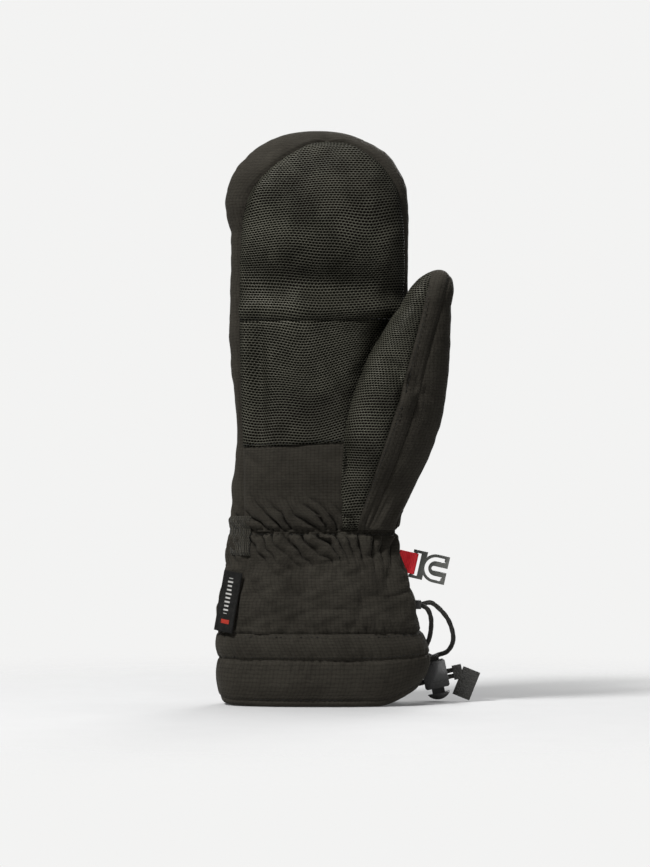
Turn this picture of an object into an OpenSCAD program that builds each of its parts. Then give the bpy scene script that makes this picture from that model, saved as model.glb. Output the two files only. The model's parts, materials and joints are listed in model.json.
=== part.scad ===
// Ski mitten for the right hand: insulated hand bag, thumb pocket, gauntlet cuff, glove clip and cord lock.
// The mitten stands on its hem with the fingers up. +Z runs to the fingertips, the palm faces -Y and the
// thumb is on +X. The origin is the middle of the cuff opening, on the hem's plane.

/* [Body] */
// Height of the fingertips above the hem
body_len = 335; // [325:1:345]
// Width across the hand
hand_w = 104; // [100:1:108]
// Thickness of the hand part
hand_t = 48; // [46:1:52]
// Width at the wrist elastic
wrist_w = 96; // [92:1:100]
// Thickness at the wrist elastic
wrist_t = 40; // [38:1:43]
// Widest part of the gauntlet cuff
cuff_w = 125; // [121:1:129]
// Thickness of the gauntlet cuff
cuff_t = 56; // [53:1:60]
// Height of the wrist elastic above the hem
wrist_z = 102; // [100:1:104]
// Height of the knuckle seam
knuckle_z = 223; // [220:1:226]
// Height of the seam between the lower grip panel and the palm heel
heel_z = 150; // [147:1:153]

/* [Layers] */
// Thickness of the shell fabric
shell_t = 1.2; // [0.9:0.1:1.2]
// Thickness of the waterproof film
film_t = 0.5; // [0.3:0.1:0.5]
// Thickness of the hand's batting
batting_t = 5; // [4:0.5:5]
// Thickness of the fleece lining
lining_t = 1.2; // [0.8:0.1:1.4]
// Thickness of the cuff's padding
cuff_padding_t = 2.8; // [2:0.1:2.8]
// Height of the hem band
hem_h = 26; // [24:1:28]
// Height of the drawcord tunnel above the hem band
tunnel_h = 16; // [14:1:17]

/* [Cord lock and clip] */
// Diameter of the elastic drawcord
cord_d = 2.8; // [2.4:0.1:3]
// Distance the lock's button travels
button_travel = 3; // [2:0.5:3]
// Length of the lock's housing along the button's axis
lock_len = 16; // [16:0.5:17]
// Width of the lock's housing along the cord
lock_w = 14.5; // [14:0.5:16]
// Thickness of the lock's housing
lock_t = 9.6; // [9.4:0.1:10.5]
// Lean of the lock's button axis from the vertical
lock_lean = 12; // [8:1:16]
// Width of the glove clip
clip_w = 16.6; // [16:0.2:18]
// Thickness of the glove clip
clip_t = 3; // [2.5:0.1:3.5]
// Droop of the glove clip below the horizontal
clip_droop = 13; // [8:1:16]

/* [Hidden] */

// Gap between neighbouring layers and panels.
gap = 0.2;
// Points round a section, and the squareness of every section and of the fingertip dome.
around = 32;
corner = 2.4;
dome_power = 0.8;

// The fingertip dome starts here, and its width is the whole hand's.
dome_z = 0.845 * body_len;
dome_h = body_len - dome_z;

// Depths below the outer surface at which the hand's layers start.
film_d = shell_t + gap;
batting_d = film_d + film_t + gap;
lining_d = batting_d + batting_t + gap;

// The same for the cuff. The drawcord runs in the padding's space.
cuff_shell_t = 0.9;
cuff_padding_d = cuff_shell_t + 0.3;
cuff_lining_d = cuff_padding_d + cuff_padding_t + 0.3;
cuff_lining_t = 0.8;
tunnel_top = hem_h + tunnel_h;

// The hem band is folded double over its edge, and the cuff's lining starts just above the hem's plane.
hem_t = 3.2;
lining_start = 1;

// Wrist elastic: thickness, and how far it reaches above and below the stitching.
elastic_t = 1.2;
elastic_reach = 6;

// Patches and labels stand on the shell with this thickness, over a small gap.
patch_t = 0.9;
patch_d = -patch_t - gap;

// Thumb layers: a thinner shell, batting over the tip only, and a lining that ends inside the hand.
thumb_shell_t = 1;
thumb_batting_d = thumb_shell_t + gap;
thumb_batting_t = 2.6;
thumb_lining_d = thumb_batting_d + thumb_batting_t + gap;
thumb_lining_t = 0.8;
thumb_batting_z = 170;
thumb_lining_z = 135;

// Batting stays this far from a bending line, so that it can fold without touching.
fold_room = 18;
thumb_room = 7;

// Body sections: height, left edge, right edge and half thickness.
body_sections = [
    [0, -0.472 * cuff_w, 0.456 * cuff_w, 0.455 * cuff_t],
    [14, -0.482 * cuff_w, 0.498 * cuff_w, 0.482 * cuff_t],
    [30, -0.491 * cuff_w, 0.508 * cuff_w, 0.5 * cuff_t],
    [tunnel_top, -0.491 * cuff_w, 0.476 * cuff_w, 0.491 * cuff_t],
    [58, -0.482 * cuff_w, 0.432 * cuff_w, 0.464 * cuff_t],
    [74, -0.466 * cuff_w, 0.404 * cuff_w, 0.429 * cuff_t],
    [88, -0.44 * cuff_w, 0.37 * cuff_w, 0.385 * cuff_t],
    [wrist_z, -0.536 * wrist_w, 0.464 * wrist_w, 0.49 * wrist_t],
    [114, -0.536 * wrist_w, 0.51 * wrist_w, 0.525 * wrist_t],
    [heel_z, -0.476 * hand_w, 0.471 * hand_w, 0.49 * hand_t],
    [188, -0.495 * hand_w, 0.481 * hand_w, 0.5 * hand_t],
    [knuckle_z, -0.51 * hand_w, 0.49 * hand_w, 0.5 * hand_t],
    [dome_z, -0.519 * hand_w, 0.494 * hand_w, 0.49 * hand_t]
];

// Thumb sections: height, middle across, middle in depth, half width and half depth.
thumb_sections = [
    [112, 0.28 * hand_w, -8, 0.16 * hand_w, 13],
    [120, 0.31 * hand_w, -10, 0.195 * hand_w, 14],
    [137, 0.346 * hand_w, -14, 0.226 * hand_w, 17],
    [154, 0.385 * hand_w, -18, 0.256 * hand_w, 19],
    [168, 0.41 * hand_w, -21, 0.264 * hand_w, 19],
    [193, 0.471 * hand_w, -24, 0.236 * hand_w, 18],
    [213, 0.522 * hand_w, -26, 0.202 * hand_w, 16.5],
    [233, 0.592 * hand_w, -27, 0.149 * hand_w, 14.5]
];
thumb_base_z = 112;
thumb_dome_z = 233;
thumb_dome_h = 22;

// How far the thumb's opening stays inside its surface, and where cuts against the body start.
port_margin = 5;
body_cut_z = 100;

// Places on the outside: where the cord leaves the cuff, and the lock's middle.
cord_r = cord_d / 2;
exit_z = 58;
cord_side_x = 0.25 * cuff_w;
cord_room = 5;
leg_offset = 1.8;
lock_pos = [0.54 * cuff_w, 0.34 * cuff_t, 14.5];
clip_pos = [0.433 * cuff_w, 0, 82];
loop_w = 12.4;
bar_r = 1;

// How much the first facet beside the thumb-side edge leans inward, for each millimetre from the edge.
facet_lean = 0.145;

// ---- Helpers ----

function signed_power(v, e) = sign(v) * pow(abs(v), e);

function section(z, left, right, half, depth = 0) = [
    for (i = [0 : around - 1]) let (a = 360 * i / around) [
        (left + right) / 2 + (right - left) / 2 * signed_power(cos(a), 2 / corner),
        depth + half * signed_power(sin(a), 2 / corner),
        z
    ]
];

function column(rows, z, k) = lookup(z, [for (row = rows) [row[0], row[k]]]);

function body_ring(z, d) = section(
    z,
    column(body_sections, z, 1) + d,
    column(body_sections, z, 2) - d,
    column(body_sections, z, 3) - d
);

function dome_ring(a, d) = let (
    w = pow(cos(a), dome_power),
    left = column(body_sections, dome_z, 1) + d,
    right = column(body_sections, dome_z, 2) - d,
    middle = (left + right) / 2,
    half = (right - left) / 2
) section(
    dome_z + (dome_h - d) * pow(sin(a), dome_power),
    middle - half * w,
    middle + half * w,
    (column(body_sections, dome_z, 3) - d) * w
);

function thumb_ring(z, d) = let (
    x = column(thumb_sections, z, 1),
    half = column(thumb_sections, z, 3) - d
) section(z, x - half, x + half, column(thumb_sections, z, 4) - d, column(thumb_sections, z, 2));

// The thumb's tip leans outwards as it closes.
function thumb_dome_ring(a, d) = let (
    w = pow(cos(a), dome_power),
    x = column(thumb_sections, thumb_dome_z, 1) + 0.38 * thumb_dome_h * pow(sin(a), dome_power),
    half = (column(thumb_sections, thumb_dome_z, 3) - d) * w
) section(
    thumb_dome_z + (thumb_dome_h - d) * pow(sin(a), dome_power),
    x - half,
    x + half,
    (column(thumb_sections, thumb_dome_z, 4) - d) * w,
    column(thumb_sections, thumb_dome_z, 2)
);

// A solid through a stack of rings that all have the same number of points.
module loft(rings) {
    n = len(rings[0]);
    last = (len(rings) - 1) * n;
    sides = [
        for (j = [0 : len(rings) - 2], i = [0 : n - 1])
            let (a = j * n + i, b = j * n + (i + 1) % n)
            each [[a, a + n, b], [b, a + n, b + n]]
    ];
    polyhedron(
        points = [for (ring = rings) each ring],
        faces = concat(
            sides,
            [[for (i = [0 : n - 1]) i]],
            [[for (i = [n - 1 : -1 : 0]) last + i]]
        )
    );
}

// resize() with zeros keeps the size and turns a cut sheet into one mesh.
module one_mesh() {
    resize([0, 0, 0]) children();
}

dome_steps = [16, 32, 48, 62, 75, 85];

// The body's volume, shrunk by d, between two heights, or up to the fingertips.
module bag(d, bottom, top = undef) {
    closed = is_undef(top);
    end = closed ? dome_z : top;
    between = [for (row = body_sections) if (row[0] > bottom + 1 && row[0] < end - 1) row[0]];
    loft(concat(
        [for (z = concat([bottom], between, [end])) body_ring(z, d)],
        [for (a = closed ? dome_steps : []) dome_ring(a, d)]
    ));
}

// One layer of the body, from depth d and t thick.
module body_layer(d, t, bottom, top = undef) {
    difference() {
        bag(d, bottom, top);
        bag(d + t, bottom - 1, is_undef(top) ? undef : top + 1);
    }
}

// The thumb's volume, shrunk by d, from a height inside the hand to its tip.
module thumb_volume(d, bottom = thumb_base_z) {
    between = [for (row = thumb_sections) if (row[0] > bottom + 1 && row[0] < thumb_dome_z) row[0]];
    loft(concat(
        [for (z = concat([bottom], between, [thumb_dome_z])) thumb_ring(z, d)],
        [for (a = dome_steps) thumb_dome_ring(a, d)]
    ));
}

// One layer of the thumb, ending where it meets the body.
module thumb_layer(d, t, bottom = thumb_base_z) {
    difference() {
        thumb_volume(d, bottom);
        thumb_volume(d + t, bottom - 1);
        bag(-gap, body_cut_z);
    }
}

// Where the thumb's pocket opens into the hand.
module thumb_port() {
    port_bottom = 135;
    port_h = 70;
    intersection() {
        thumb_volume(port_margin, port_bottom - 5);
        translate([0, -hand_w, port_bottom]) cube([hand_w, hand_w + 20, port_h]);
    }
}

// A slab in front of the body, from an outline in X and Z.
module in_front(outline, y = 0) {
    translate([0, y, 0]) rotate([90, 0, 0]) linear_extrude(80) polygon(outline);
}

// A tube of radius r along a path that never runs along the side direction.
module cord(path, r, side = [0, 1, 0], n = 8) {
    count = len(path);
    rings = [
        for (k = [0 : count - 1]) let (
            ahead = path[min(k + 1, count - 1)] - path[max(k - 1, 0)],
            t = ahead / norm(ahead),
            u = cross(t, side) / norm(cross(t, side)),
            v = cross(t, u)
        ) [for (i = [0 : n - 1]) path[k] + r * (cos(360 * i / n) * u + sin(360 * i / n) * v)]
    ];
    loft(rings);
}

// A smooth path through control points.
function blend_point(a, b, c, d, t) =
    0.5 * (2 * b + (c - a) * t + (2 * a - 5 * b + 4 * c - d) * t * t + (3 * b - a - 3 * c + d) * t * t * t);

function smooth_path(p, steps) = concat(
    [
        for (k = [0 : len(p) - 2], s = [0 : steps - 1])
            blend_point(p[max(k - 1, 0)], p[k], p[k + 1], p[min(k + 2, len(p) - 1)], s / steps)
    ],
    [p[len(p) - 1]]
);

// ---- Outlines on the palm side, in X and Z ----

palm_left = -0.472 * hand_w;
palm_right = 0.474 * hand_w;
palm_arch_z = knuckle_z + 47;
palm_arch_h = body_len - 5 - palm_arch_z;

function palm_arch() = [
    for (a = [0 : 10 : 180]) [
        (palm_left + palm_right) / 2 + (palm_right - palm_left) / 2 * signed_power(cos(a), 0.95),
        palm_arch_z + palm_arch_h * pow(sin(a), 0.95)
    ]
];

function palm_box(bottom, top) = [
    [palm_left, bottom], [palm_right, bottom], [palm_right, top], [palm_left, top]
];

function palm_upper_outline() = concat([[palm_left, knuckle_z], [palm_right, knuckle_z]], palm_arch());

// The thumb's two seams: how far across each one is, at a height.
function grip_seam(z) = lookup(z, [
    [105, 0.2 * hand_w], [160, 0.38 * hand_w], [185, 0.46 * hand_w],
    [215, 0.53 * hand_w], [260, 0.63 * hand_w]
]);
function side_seam(z) = lookup(z, [
    [105, 0.27 * hand_w], [160, 0.48 * hand_w], [185, 0.55 * hand_w],
    [222, 0.645 * hand_w], [260, 0.75 * hand_w]
]);
seam_heights = [105, 160, 185, 218, 260];
thumb_front_y = -20;

function thumb_side_outline() = concat(
    [for (z = seam_heights) [grip_seam(z) + gap, z]],
    [for (i = [len(seam_heights) - 1 : -1 : 0]) [side_seam(seam_heights[i]) - gap, seam_heights[i]]]
);

function thumb_grip_outline() = concat(
    [for (z = seam_heights) [grip_seam(z), z]],
    [[-20, 260], [-20, 105]]
);

// ---- Hand ----

module palm_grip_upper() {
    color([0.2, 0.2, 0.17]) one_mesh() intersection() {
        body_layer(0, shell_t, knuckle_z + gap);
        in_front(palm_upper_outline());
    }
}

module palm_grip_lower() {
    color([0.2, 0.2, 0.17]) one_mesh() difference() {
        intersection() {
            body_layer(0, shell_t, heel_z + gap, knuckle_z - gap);
            in_front(palm_box(heel_z, knuckle_z));
        }
        thumb_port();
    }
}

module palm_heel_panel() {
    color([0.19, 0.18, 0.15]) one_mesh() difference() {
        intersection() {
            body_layer(0, shell_t, wrist_z + gap, heel_z - gap);
            in_front(palm_box(wrist_z, heel_z));
        }
        thumb_port();
    }
}

// The back of the hand wraps round both sides and over the fingertips to the palm's seam.
module back_panel() {
    color([0.2, 0.18, 0.17]) one_mesh() difference() {
        body_layer(0, shell_t, wrist_z + gap);
        minkowski() {
            union() {
                in_front(palm_upper_outline());
                in_front(palm_box(wrist_z - 5, knuckle_z + 1));
            }
            cube([2 * gap, 0.01, 2 * gap], center = true);
        }
        thumb_port();
    }
}

module waterproof_insert() {
    color([0.75, 0.77, 0.78]) one_mesh() difference() {
        body_layer(film_d, film_t, wrist_z + gap);
        thumb_port();
    }
}

module hand_insulation() {
    color([0.9, 0.9, 0.88]) one_mesh() difference() {
        body_layer(batting_d, batting_t, wrist_z + fold_room, knuckle_z - fold_room);
        thumb_port();
    }
}

module finger_insulation() {
    color([0.9, 0.9, 0.88]) one_mesh() body_layer(batting_d, batting_t, knuckle_z + fold_room);
}

module hand_lining() {
    color([0.15, 0.15, 0.15]) one_mesh() difference() {
        body_layer(lining_d, lining_t, wrist_z + gap);
        thumb_port();
    }
}

// ---- Thumb ----

module thumb_grip_panel() {
    color([0.2, 0.2, 0.17]) one_mesh() intersection() {
        thumb_layer(0, thumb_shell_t);
        in_front(thumb_grip_outline(), thumb_front_y);
    }
}

module thumb_side_panel() {
    color([0.19, 0.18, 0.15]) one_mesh() intersection() {
        thumb_layer(0, thumb_shell_t);
        in_front(thumb_side_outline(), thumb_front_y);
    }
}

module thumb_back_panel() {
    edge = [
        [-20, 100], [grip_seam(105) - 25, 100],
        each [for (z = seam_heights) [side_seam(z), z]],
        [-20, 260]
    ];
    color([0.19, 0.18, 0.15]) one_mesh() difference() {
        thumb_layer(0, thumb_shell_t);
        in_front(edge, thumb_front_y + gap);
        translate([0, -60, 100]) cube([0.28 * hand_w, 60, 18]);
    }
}

module thumb_insulation() {
    color([0.9, 0.9, 0.88]) one_mesh() difference() {
        thumb_volume(thumb_batting_d, thumb_batting_z);
        thumb_volume(thumb_batting_d + thumb_batting_t, thumb_batting_z - 1);
        bag(-thumb_room, body_cut_z);
    }
}

module thumb_lining() {
    color([0.15, 0.15, 0.15]) one_mesh() thumb_layer(thumb_lining_d, thumb_lining_t, thumb_lining_z);
}

// ---- Wrist and cuff ----

// The slot at the side seam that lets the two cord ends out.
module cord_exit() {
    reach = 3.6;
    below = 5;
    above = 2.6;
    translate([cord_side_x, -reach, exit_z - below]) cube([0.5 * cuff_w, 2 * reach, below + above]);
}

module wrist_elastic() {
    color([0.3, 0.3, 0.3]) one_mesh()
        body_layer(batting_d, elastic_t, wrist_z - elastic_reach, wrist_z + elastic_reach);
}

module wrist_side_patch() {
    color([0.21, 0.21, 0.17]) one_mesh() intersection() {
        body_layer(patch_d, patch_t, wrist_z - 15, wrist_z + 8);
        translate([-cuff_w, -cuff_t, 0]) cube([0.66 * cuff_w, cuff_t + 12, body_len]);
    }
}

module cuff_panel(front) {
    color([0.21, 0.2, 0.17]) one_mesh() difference() {
        intersection() {
            body_layer(0, cuff_shell_t, tunnel_top + gap, wrist_z - gap);
            translate([-cuff_w, front ? -cuff_t - gap / 2 : gap / 2, 0])
                cube([2 * cuff_w, cuff_t, body_len]);
        }
        cord_exit();
    }
}

module cuff_padding() {
    color([0.9, 0.9, 0.88]) one_mesh() difference() {
        body_layer(cuff_padding_d, cuff_padding_t, tunnel_top + 2, wrist_z - elastic_reach - 2);
        translate([cord_side_x, -cord_room, 0]) cube([0.5 * cuff_w, 2 * cord_room, exit_z + cord_room]);
    }
}

module cuff_lining() {
    color([0.13, 0.13, 0.13]) one_mesh()
        body_layer(cuff_lining_d, cuff_lining_t, lining_start, wrist_z - gap);
}

module tunnel_band() {
    color([0.2, 0.19, 0.16]) one_mesh() body_layer(0, cuff_shell_t, hem_h + gap, tunnel_top - gap);
}

module hem_band() {
    color([0.2, 0.19, 0.16]) one_mesh() body_layer(0, hem_t, 0, hem_h - gap);
}

// The label leans with the cuff's side and is folded into the side seam.
module side_label() {
    bottom = tunnel_top + 2;
    label_h = 35;
    outer_edge = -0.55 * cuff_w;
    outline = [
        [outer_edge, bottom], [-0.415 * cuff_w, bottom - 1],
        [-0.375 * cuff_w, bottom + label_h], [outer_edge, bottom + label_h]
    ];
    color([0.1, 0.1, 0.09]) one_mesh() intersection() {
        body_layer(patch_d, patch_t, tunnel_top + 1, bottom + label_h + 1);
        in_front(outline, -2);
    }
}

// ---- Glove clip ----

module at_clip() {
    translate(clip_pos) rotate([0, clip_droop, 0]) children();
}

// A ribbon folded round the clip's bar, with both ends sewn into the side seam.
module clip_loop() {
    t = 0.6;
    inner = bar_r + 0.06;
    tail = 7.6;
    color("firebrick") difference() {
        at_clip() difference() {
            union() {
                cylinder(h = loop_w, r = inner + t, center = true, $fn = 48);
                translate([-tail / 2, 0, 0]) cube([tail, 2 * (inner + t), loop_w], center = true);
            }
            cylinder(h = loop_w + 2, r = inner, center = true, $fn = 48);
            translate([-tail / 2 - 2, 0, 0]) cube([tail, 0.7, loop_w + 2], center = true);
        }
        bag(-gap, tunnel_top, wrist_z);
    }
}

clip_len = 21;

// The clip's flat outline: a webbing bar, two rails, a sprung crescent and a jaw that takes the other clip.
module clip_outline() {
    half = clip_w / 2;
    ring_x = 13.2;
    rail = 1.7;
    slot = 2.3;
    mouth = 1.3;
    difference() {
        translate([0, -half]) square([clip_len - 1, 2 * half]);
        // webbing slot behind the bar
        translate([0, -half + rail]) square([3.4, 2 * (half - rail)]);
        // room between the side rails and the crescent
        difference() {
            translate([3.4, -half - 1]) square([ring_x - 3.4, 2 * half + 2]);
            translate([ring_x, 0]) circle(r = half, $fn = 96);
            translate([3.2, -half]) square([3.6, 2 * half]);
        }
        // C-shaped slot round the tongue
        difference() {
            union() {
                translate([ring_x, 0]) circle(r = half - rail, $fn = 96);
                translate([ring_x, -half + rail]) square([clip_len - ring_x - 3.6, 2 * (half - rail)]);
            }
            translate([ring_x, 0]) circle(r = half - rail - slot, $fn = 96);
            translate([ring_x, -half + rail + slot]) square([clip_len, 2 * (half - rail - slot)]);
        }
        // mouth that the other clip's tongue slides into
        translate([ring_x - 1.2, 0]) circle(r = mouth, $fn = 48);
        translate([ring_x - 1.2, -mouth]) square([clip_len, 2 * mouth]);
    }
}

module glove_clip() {
    boss_h = 1.7;
    color("dimgray") at_clip() {
        rotate([90, 0, 0]) translate([0, 0, -clip_t / 2]) linear_extrude(clip_t) clip_outline();
        cylinder(h = clip_w, r = bar_r, center = true, $fn = 48);
        for (side = [-1, 1])
            translate([0, 0, side * (clip_w - boss_h) / 2])
                cylinder(h = boss_h, r = clip_t / 2, center = true, $fn = 48);
    }
}

// ---- Drawcord and cord lock ----

// Along local +X the cords leave the lock, and the button points along local -Z.
module at_lock() {
    translate(lock_pos) rotate([0, -lock_lean, 0]) children();
}

function from_lock(p) = lock_pos + [
    p[0] * cos(lock_lean) - p[2] * sin(lock_lean),
    p[1],
    p[0] * sin(lock_lean) + p[2] * cos(lock_lean)
];

// The two cords pass one above the other.
cord_rise = 1.75;
bore_r = cord_r + 0.15;
plunger_w = 7.4;
plunger_t = 6;
sleeve_gap = 0.08;

// The bores lie below the housing's middle, to leave room for the spring.
lock_bottom = -6.6;
lock_top = lock_bottom + lock_len;
pocket_top = lock_top - 1.2;
stem_top = cord_rise + bore_r + 0.8;

// The webbing tab passes through a slot in the ear above the housing.
webbing_w = 7.9;
webbing_t = 0.8;
ear_x = -1;
ear_z = lock_top + 1.9;
ear_h = 4.2;
ear_t = 2.4;

module cord_lock_body() {
    middle = (lock_bottom + lock_top) / 2;
    color([0.1, 0.1, 0.09]) at_lock() difference() {
        union() {
            translate([0, 0, middle]) intersection() {
                cube([lock_w, lock_t, lock_len], center = true);
                rotate([90, 0, 0]) cylinder(h = lock_t, r = 0.7 * lock_w, center = true, $fn = 64);
            }
            // ear for the webbing tab
            translate([ear_x, 0, lock_top + ear_h / 2 - 0.5])
                cube([webbing_w + 2.6, ear_t, ear_h], center = true);
        }
        // pocket for the plunger, open at the button's end
        translate([-plunger_w / 2 - sleeve_gap, -plunger_t / 2 - sleeve_gap, lock_bottom - 2])
            cube([plunger_w + 2 * sleeve_gap, plunger_t + 2 * sleeve_gap, pocket_top - lock_bottom + 2]);
        // cord bore: two cords, one above the other
        for (side = [-1, 1])
            translate([0, 0, side * cord_rise]) rotate([0, 90, 0])
                cylinder(h = lock_w + 2, r = bore_r, center = true, $fn = 48);
        cube([lock_w + 2, 2 * bore_r, 2 * cord_rise], center = true);
        // slot in the ear
        translate([ear_x, 0, ear_z]) cube([webbing_w + 0.4, 5, 1.6], center = true);
    }
}

// The button and its stem: the stem's slot pinches both cords until the button is pressed.
module cord_lock_plunger() {
    slot_top = cord_rise + bore_r;
    slot_bottom = -cord_rise - bore_r - button_travel;
    stem_bottom = lock_bottom - button_travel - 0.3;
    cap_h = 3.4;
    color([0.08, 0.08, 0.07]) at_lock() difference() {
        union() {
            translate([-plunger_w / 2, -plunger_t / 2, stem_bottom])
                cube([plunger_w, plunger_t, stem_top - stem_bottom]);
            translate([0, 0, stem_bottom]) intersection() {
                translate([0, 0, -cap_h / 2]) cube([plunger_w + 6, lock_t - 1, cap_h], center = true);
                translate([0, 0, 4.6]) rotate([90, 0, 0])
                    cylinder(h = lock_t, r = 8, center = true, $fn = 64);
            }
        }
        translate([-plunger_w, -bore_r, slot_bottom])
            cube([2 * plunger_w, 2 * bore_r, slot_top - slot_bottom]);
    }
}

// A coil that pushes the button out, between the pocket's end and the stem.
module cord_lock_spring() {
    turns = 3;
    wire_r = 0.2;
    coil_r = 2;
    bottom = stem_top + wire_r + 0.05;
    top = pocket_top - wire_r - 0.05;
    path = [
        for (a = [0 : 24 : 360 * turns])
            [coil_r * cos(a), coil_r * sin(a), bottom + (top - bottom) * a / (360 * turns)]
    ];
    color("silver") at_lock() cord(path, wire_r, [0, 0, 1], 6);
}

// Webbing from the hem's seam to the lock's ear, where it turns through the slot.
module lock_tab() {
    ear = from_lock([ear_x, 0, ear_z]);
    turn = ear - [0, 1.68, 0];
    seam = [0.42 * cuff_w, turn[1], ear[2] + 5.5];
    stops = [ear + [0, 1.2, 0], turn, seam];
    color([0.1, 0.1, 0.08]) difference() {
        for (k = [0, 1]) hull() for (p = [stops[k], stops[k + 1]])
            translate(p) rotate([0, -lock_lean, 0]) cube([webbing_w, webbing_t, 1], center = true);
        bag(-gap, 1, wrist_z);
    }
}

// A small moulded guide on the side seam, with one opening for both legs of the cord.
module cord_keeper() {
    x = column(body_sections, exit_z, 2) + gap + 0.3;
    deep = 5;
    wide = 9.2;
    tall = 5;
    color([0.1, 0.1, 0.09]) difference() {
        translate([x, 0, exit_z]) difference() {
            translate([-1, -wide / 2, -tall / 2]) cube([deep, wide, tall]);
            for (side = [-1, 1])
                translate([-2, side * leg_offset, 0]) rotate([0, 90, 0])
                    cylinder(h = deep + 3, r = bore_r, $fn = 32);
            translate([-2, -leg_offset, -bore_r]) cube([deep + 3, 2 * leg_offset, 2 * bore_r]);
        }
        bag(-gap, tunnel_top, wrist_z);
    }
}

// Runs round the cuff in its tunnel, climbs inside the side seam, leaves through the keeper as two legs
// and enters the lock behind the cuff's edge.
module drawcord() {
    ring_z = hem_h + tunnel_h / 2;
    depth = cuff_shell_t + 0.3 + cord_r;
    function edge_x(z, y) = column(body_sections, z, 2) - depth - facet_lean * y;
    left = column(body_sections, ring_z, 1) + depth;
    right = column(body_sections, ring_z, 2) - depth;
    half = column(body_sections, ring_z, 3) - depth;
    ring = [
        for (i = [1 : around - 1]) let (a = 360 * i / around) [
            (left + right) / 2 + (right - left) / 2 * signed_power(cos(a), 2 / corner),
            half * signed_power(sin(a), 2 / corner),
            ring_z
        ]
    ];
    start = ring[0];
    finish = ring[len(ring) - 1];
    outside = column(body_sections, exit_z, 2) + 4.6;
    entry_x = -lock_w / 2 - 0.75;
    outer_entry = from_lock([entry_x, 0, cord_rise]);
    inner_entry = from_lock([entry_x, 0, -cord_rise]);
    outer_leg = [
        start + [-0.4, 0.6, 0], [edge_x(ring_z + 4, 3.6), 3.6, ring_z + 4], [edge_x(47, 2.2), 2.2, 47],
        [edge_x(exit_z - 4, 1.8), 1.8, exit_z - 4], [edge_x(exit_z, 1.8) + 1.5, 1.8, exit_z - 0.6],
        [outside, 1.8, exit_z], [outside + 7, 2.6, exit_z - 1],
        [0.595 * cuff_w, 6, 49], [0.623 * cuff_w, 11, 38], [0.6 * cuff_w, 19, 30],
        [0.548 * cuff_w, 26.3, 26.5], [0.48 * cuff_w, 27.3, 22.5], [0.442 * cuff_w, 24.3, 17.5],
        outer_entry + [-3.2, 2.6, -0.3], outer_entry
    ];
    inner_leg = [
        finish - [0.4, 0.6, 0], [edge_x(ring_z + 4, 3.6), -3.6, ring_z + 4], [edge_x(47, 2.2), -2.2, 47],
        [edge_x(exit_z - 4, 1.8), -1.8, exit_z - 4], [edge_x(exit_z, 1.8) + 1.5, -1.8, exit_z - 0.6],
        [outside, -1.8, exit_z], [outside + 4, -0.6, exit_z - 3],
        [0.515 * cuff_w, 3.2, 47], [0.51 * cuff_w, 9.5, 37], [0.477 * cuff_w, 14.65, 27],
        [0.438 * cuff_w, 18, 18],
        inner_entry + [-4.2, -1.6, -0.6], inner_entry
    ];
    color([0.09, 0.09, 0.08]) {
        cord(ring, cord_r, [0, 0, 1]);
        cord(smooth_path(outer_leg, 4), cord_r, [0.1, 1, 0.2]);
        cord(smooth_path(inner_leg, 4), cord_r, [0.1, 1, 0.2]);
    }
}

tail_reach = 4.6;

// The two cord ends, from inside the lock to inside the pull tab.
module cord_tail() {
    color([0.09, 0.09, 0.08]) at_lock() for (side = [-1, 1])
        translate([-lock_w / 2 + 0.3, 0, side * cord_rise]) rotate([0, 90, 0])
            cylinder(h = lock_w + tail_reach, r = cord_r, $fn = 32);
}

module pull_tab() {
    tab_w = 10.5;
    tab_h = 17.5;
    tab_t = 3.4;
    neck = 2.5;
    start = lock_w / 2 + tail_reach - 1.2;
    color([0.12, 0.12, 0.1]) at_lock() difference() {
        translate([start, 0, 0]) {
            translate([0, -2.3, -cord_rise - 2.4]) cube([neck + 3, 4.6, 2 * cord_rise + 4.8]);
            rotate([0, lock_lean + 22, 0]) translate([neck + 1.8, -tab_t / 2, 6 - tab_h])
                cube([tab_w, tab_t, tab_h]);
        }
        for (side = [-1, 1])
            translate([0, 0, side * cord_rise]) rotate([0, 90, 0])
                cylinder(h = lock_w / 2 + tail_reach + 0.4, r = bore_r, $fn = 32);
    }
}

palm_grip_upper();
palm_grip_lower();
palm_heel_panel();
back_panel();
waterproof_insert();
hand_insulation();
finger_insulation();
hand_lining();
thumb_grip_panel();
thumb_side_panel();
thumb_back_panel();
thumb_insulation();
thumb_lining();
wrist_elastic();
wrist_side_patch();
cuff_panel(true);  // cuff_front_panel
cuff_panel(false);  // cuff_back_panel
cuff_padding();
cuff_lining();
tunnel_band();
hem_band();
side_label();
clip_loop();
glove_clip();
cord_keeper();
drawcord();
lock_tab();
cord_lock_body();
cord_lock_spring();
cord_lock_plunger();
cord_tail();
pull_tab();
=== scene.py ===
"""Ski mitten: sewn fabric pieces, hardware finishes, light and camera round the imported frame."""

import json
import math

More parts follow.
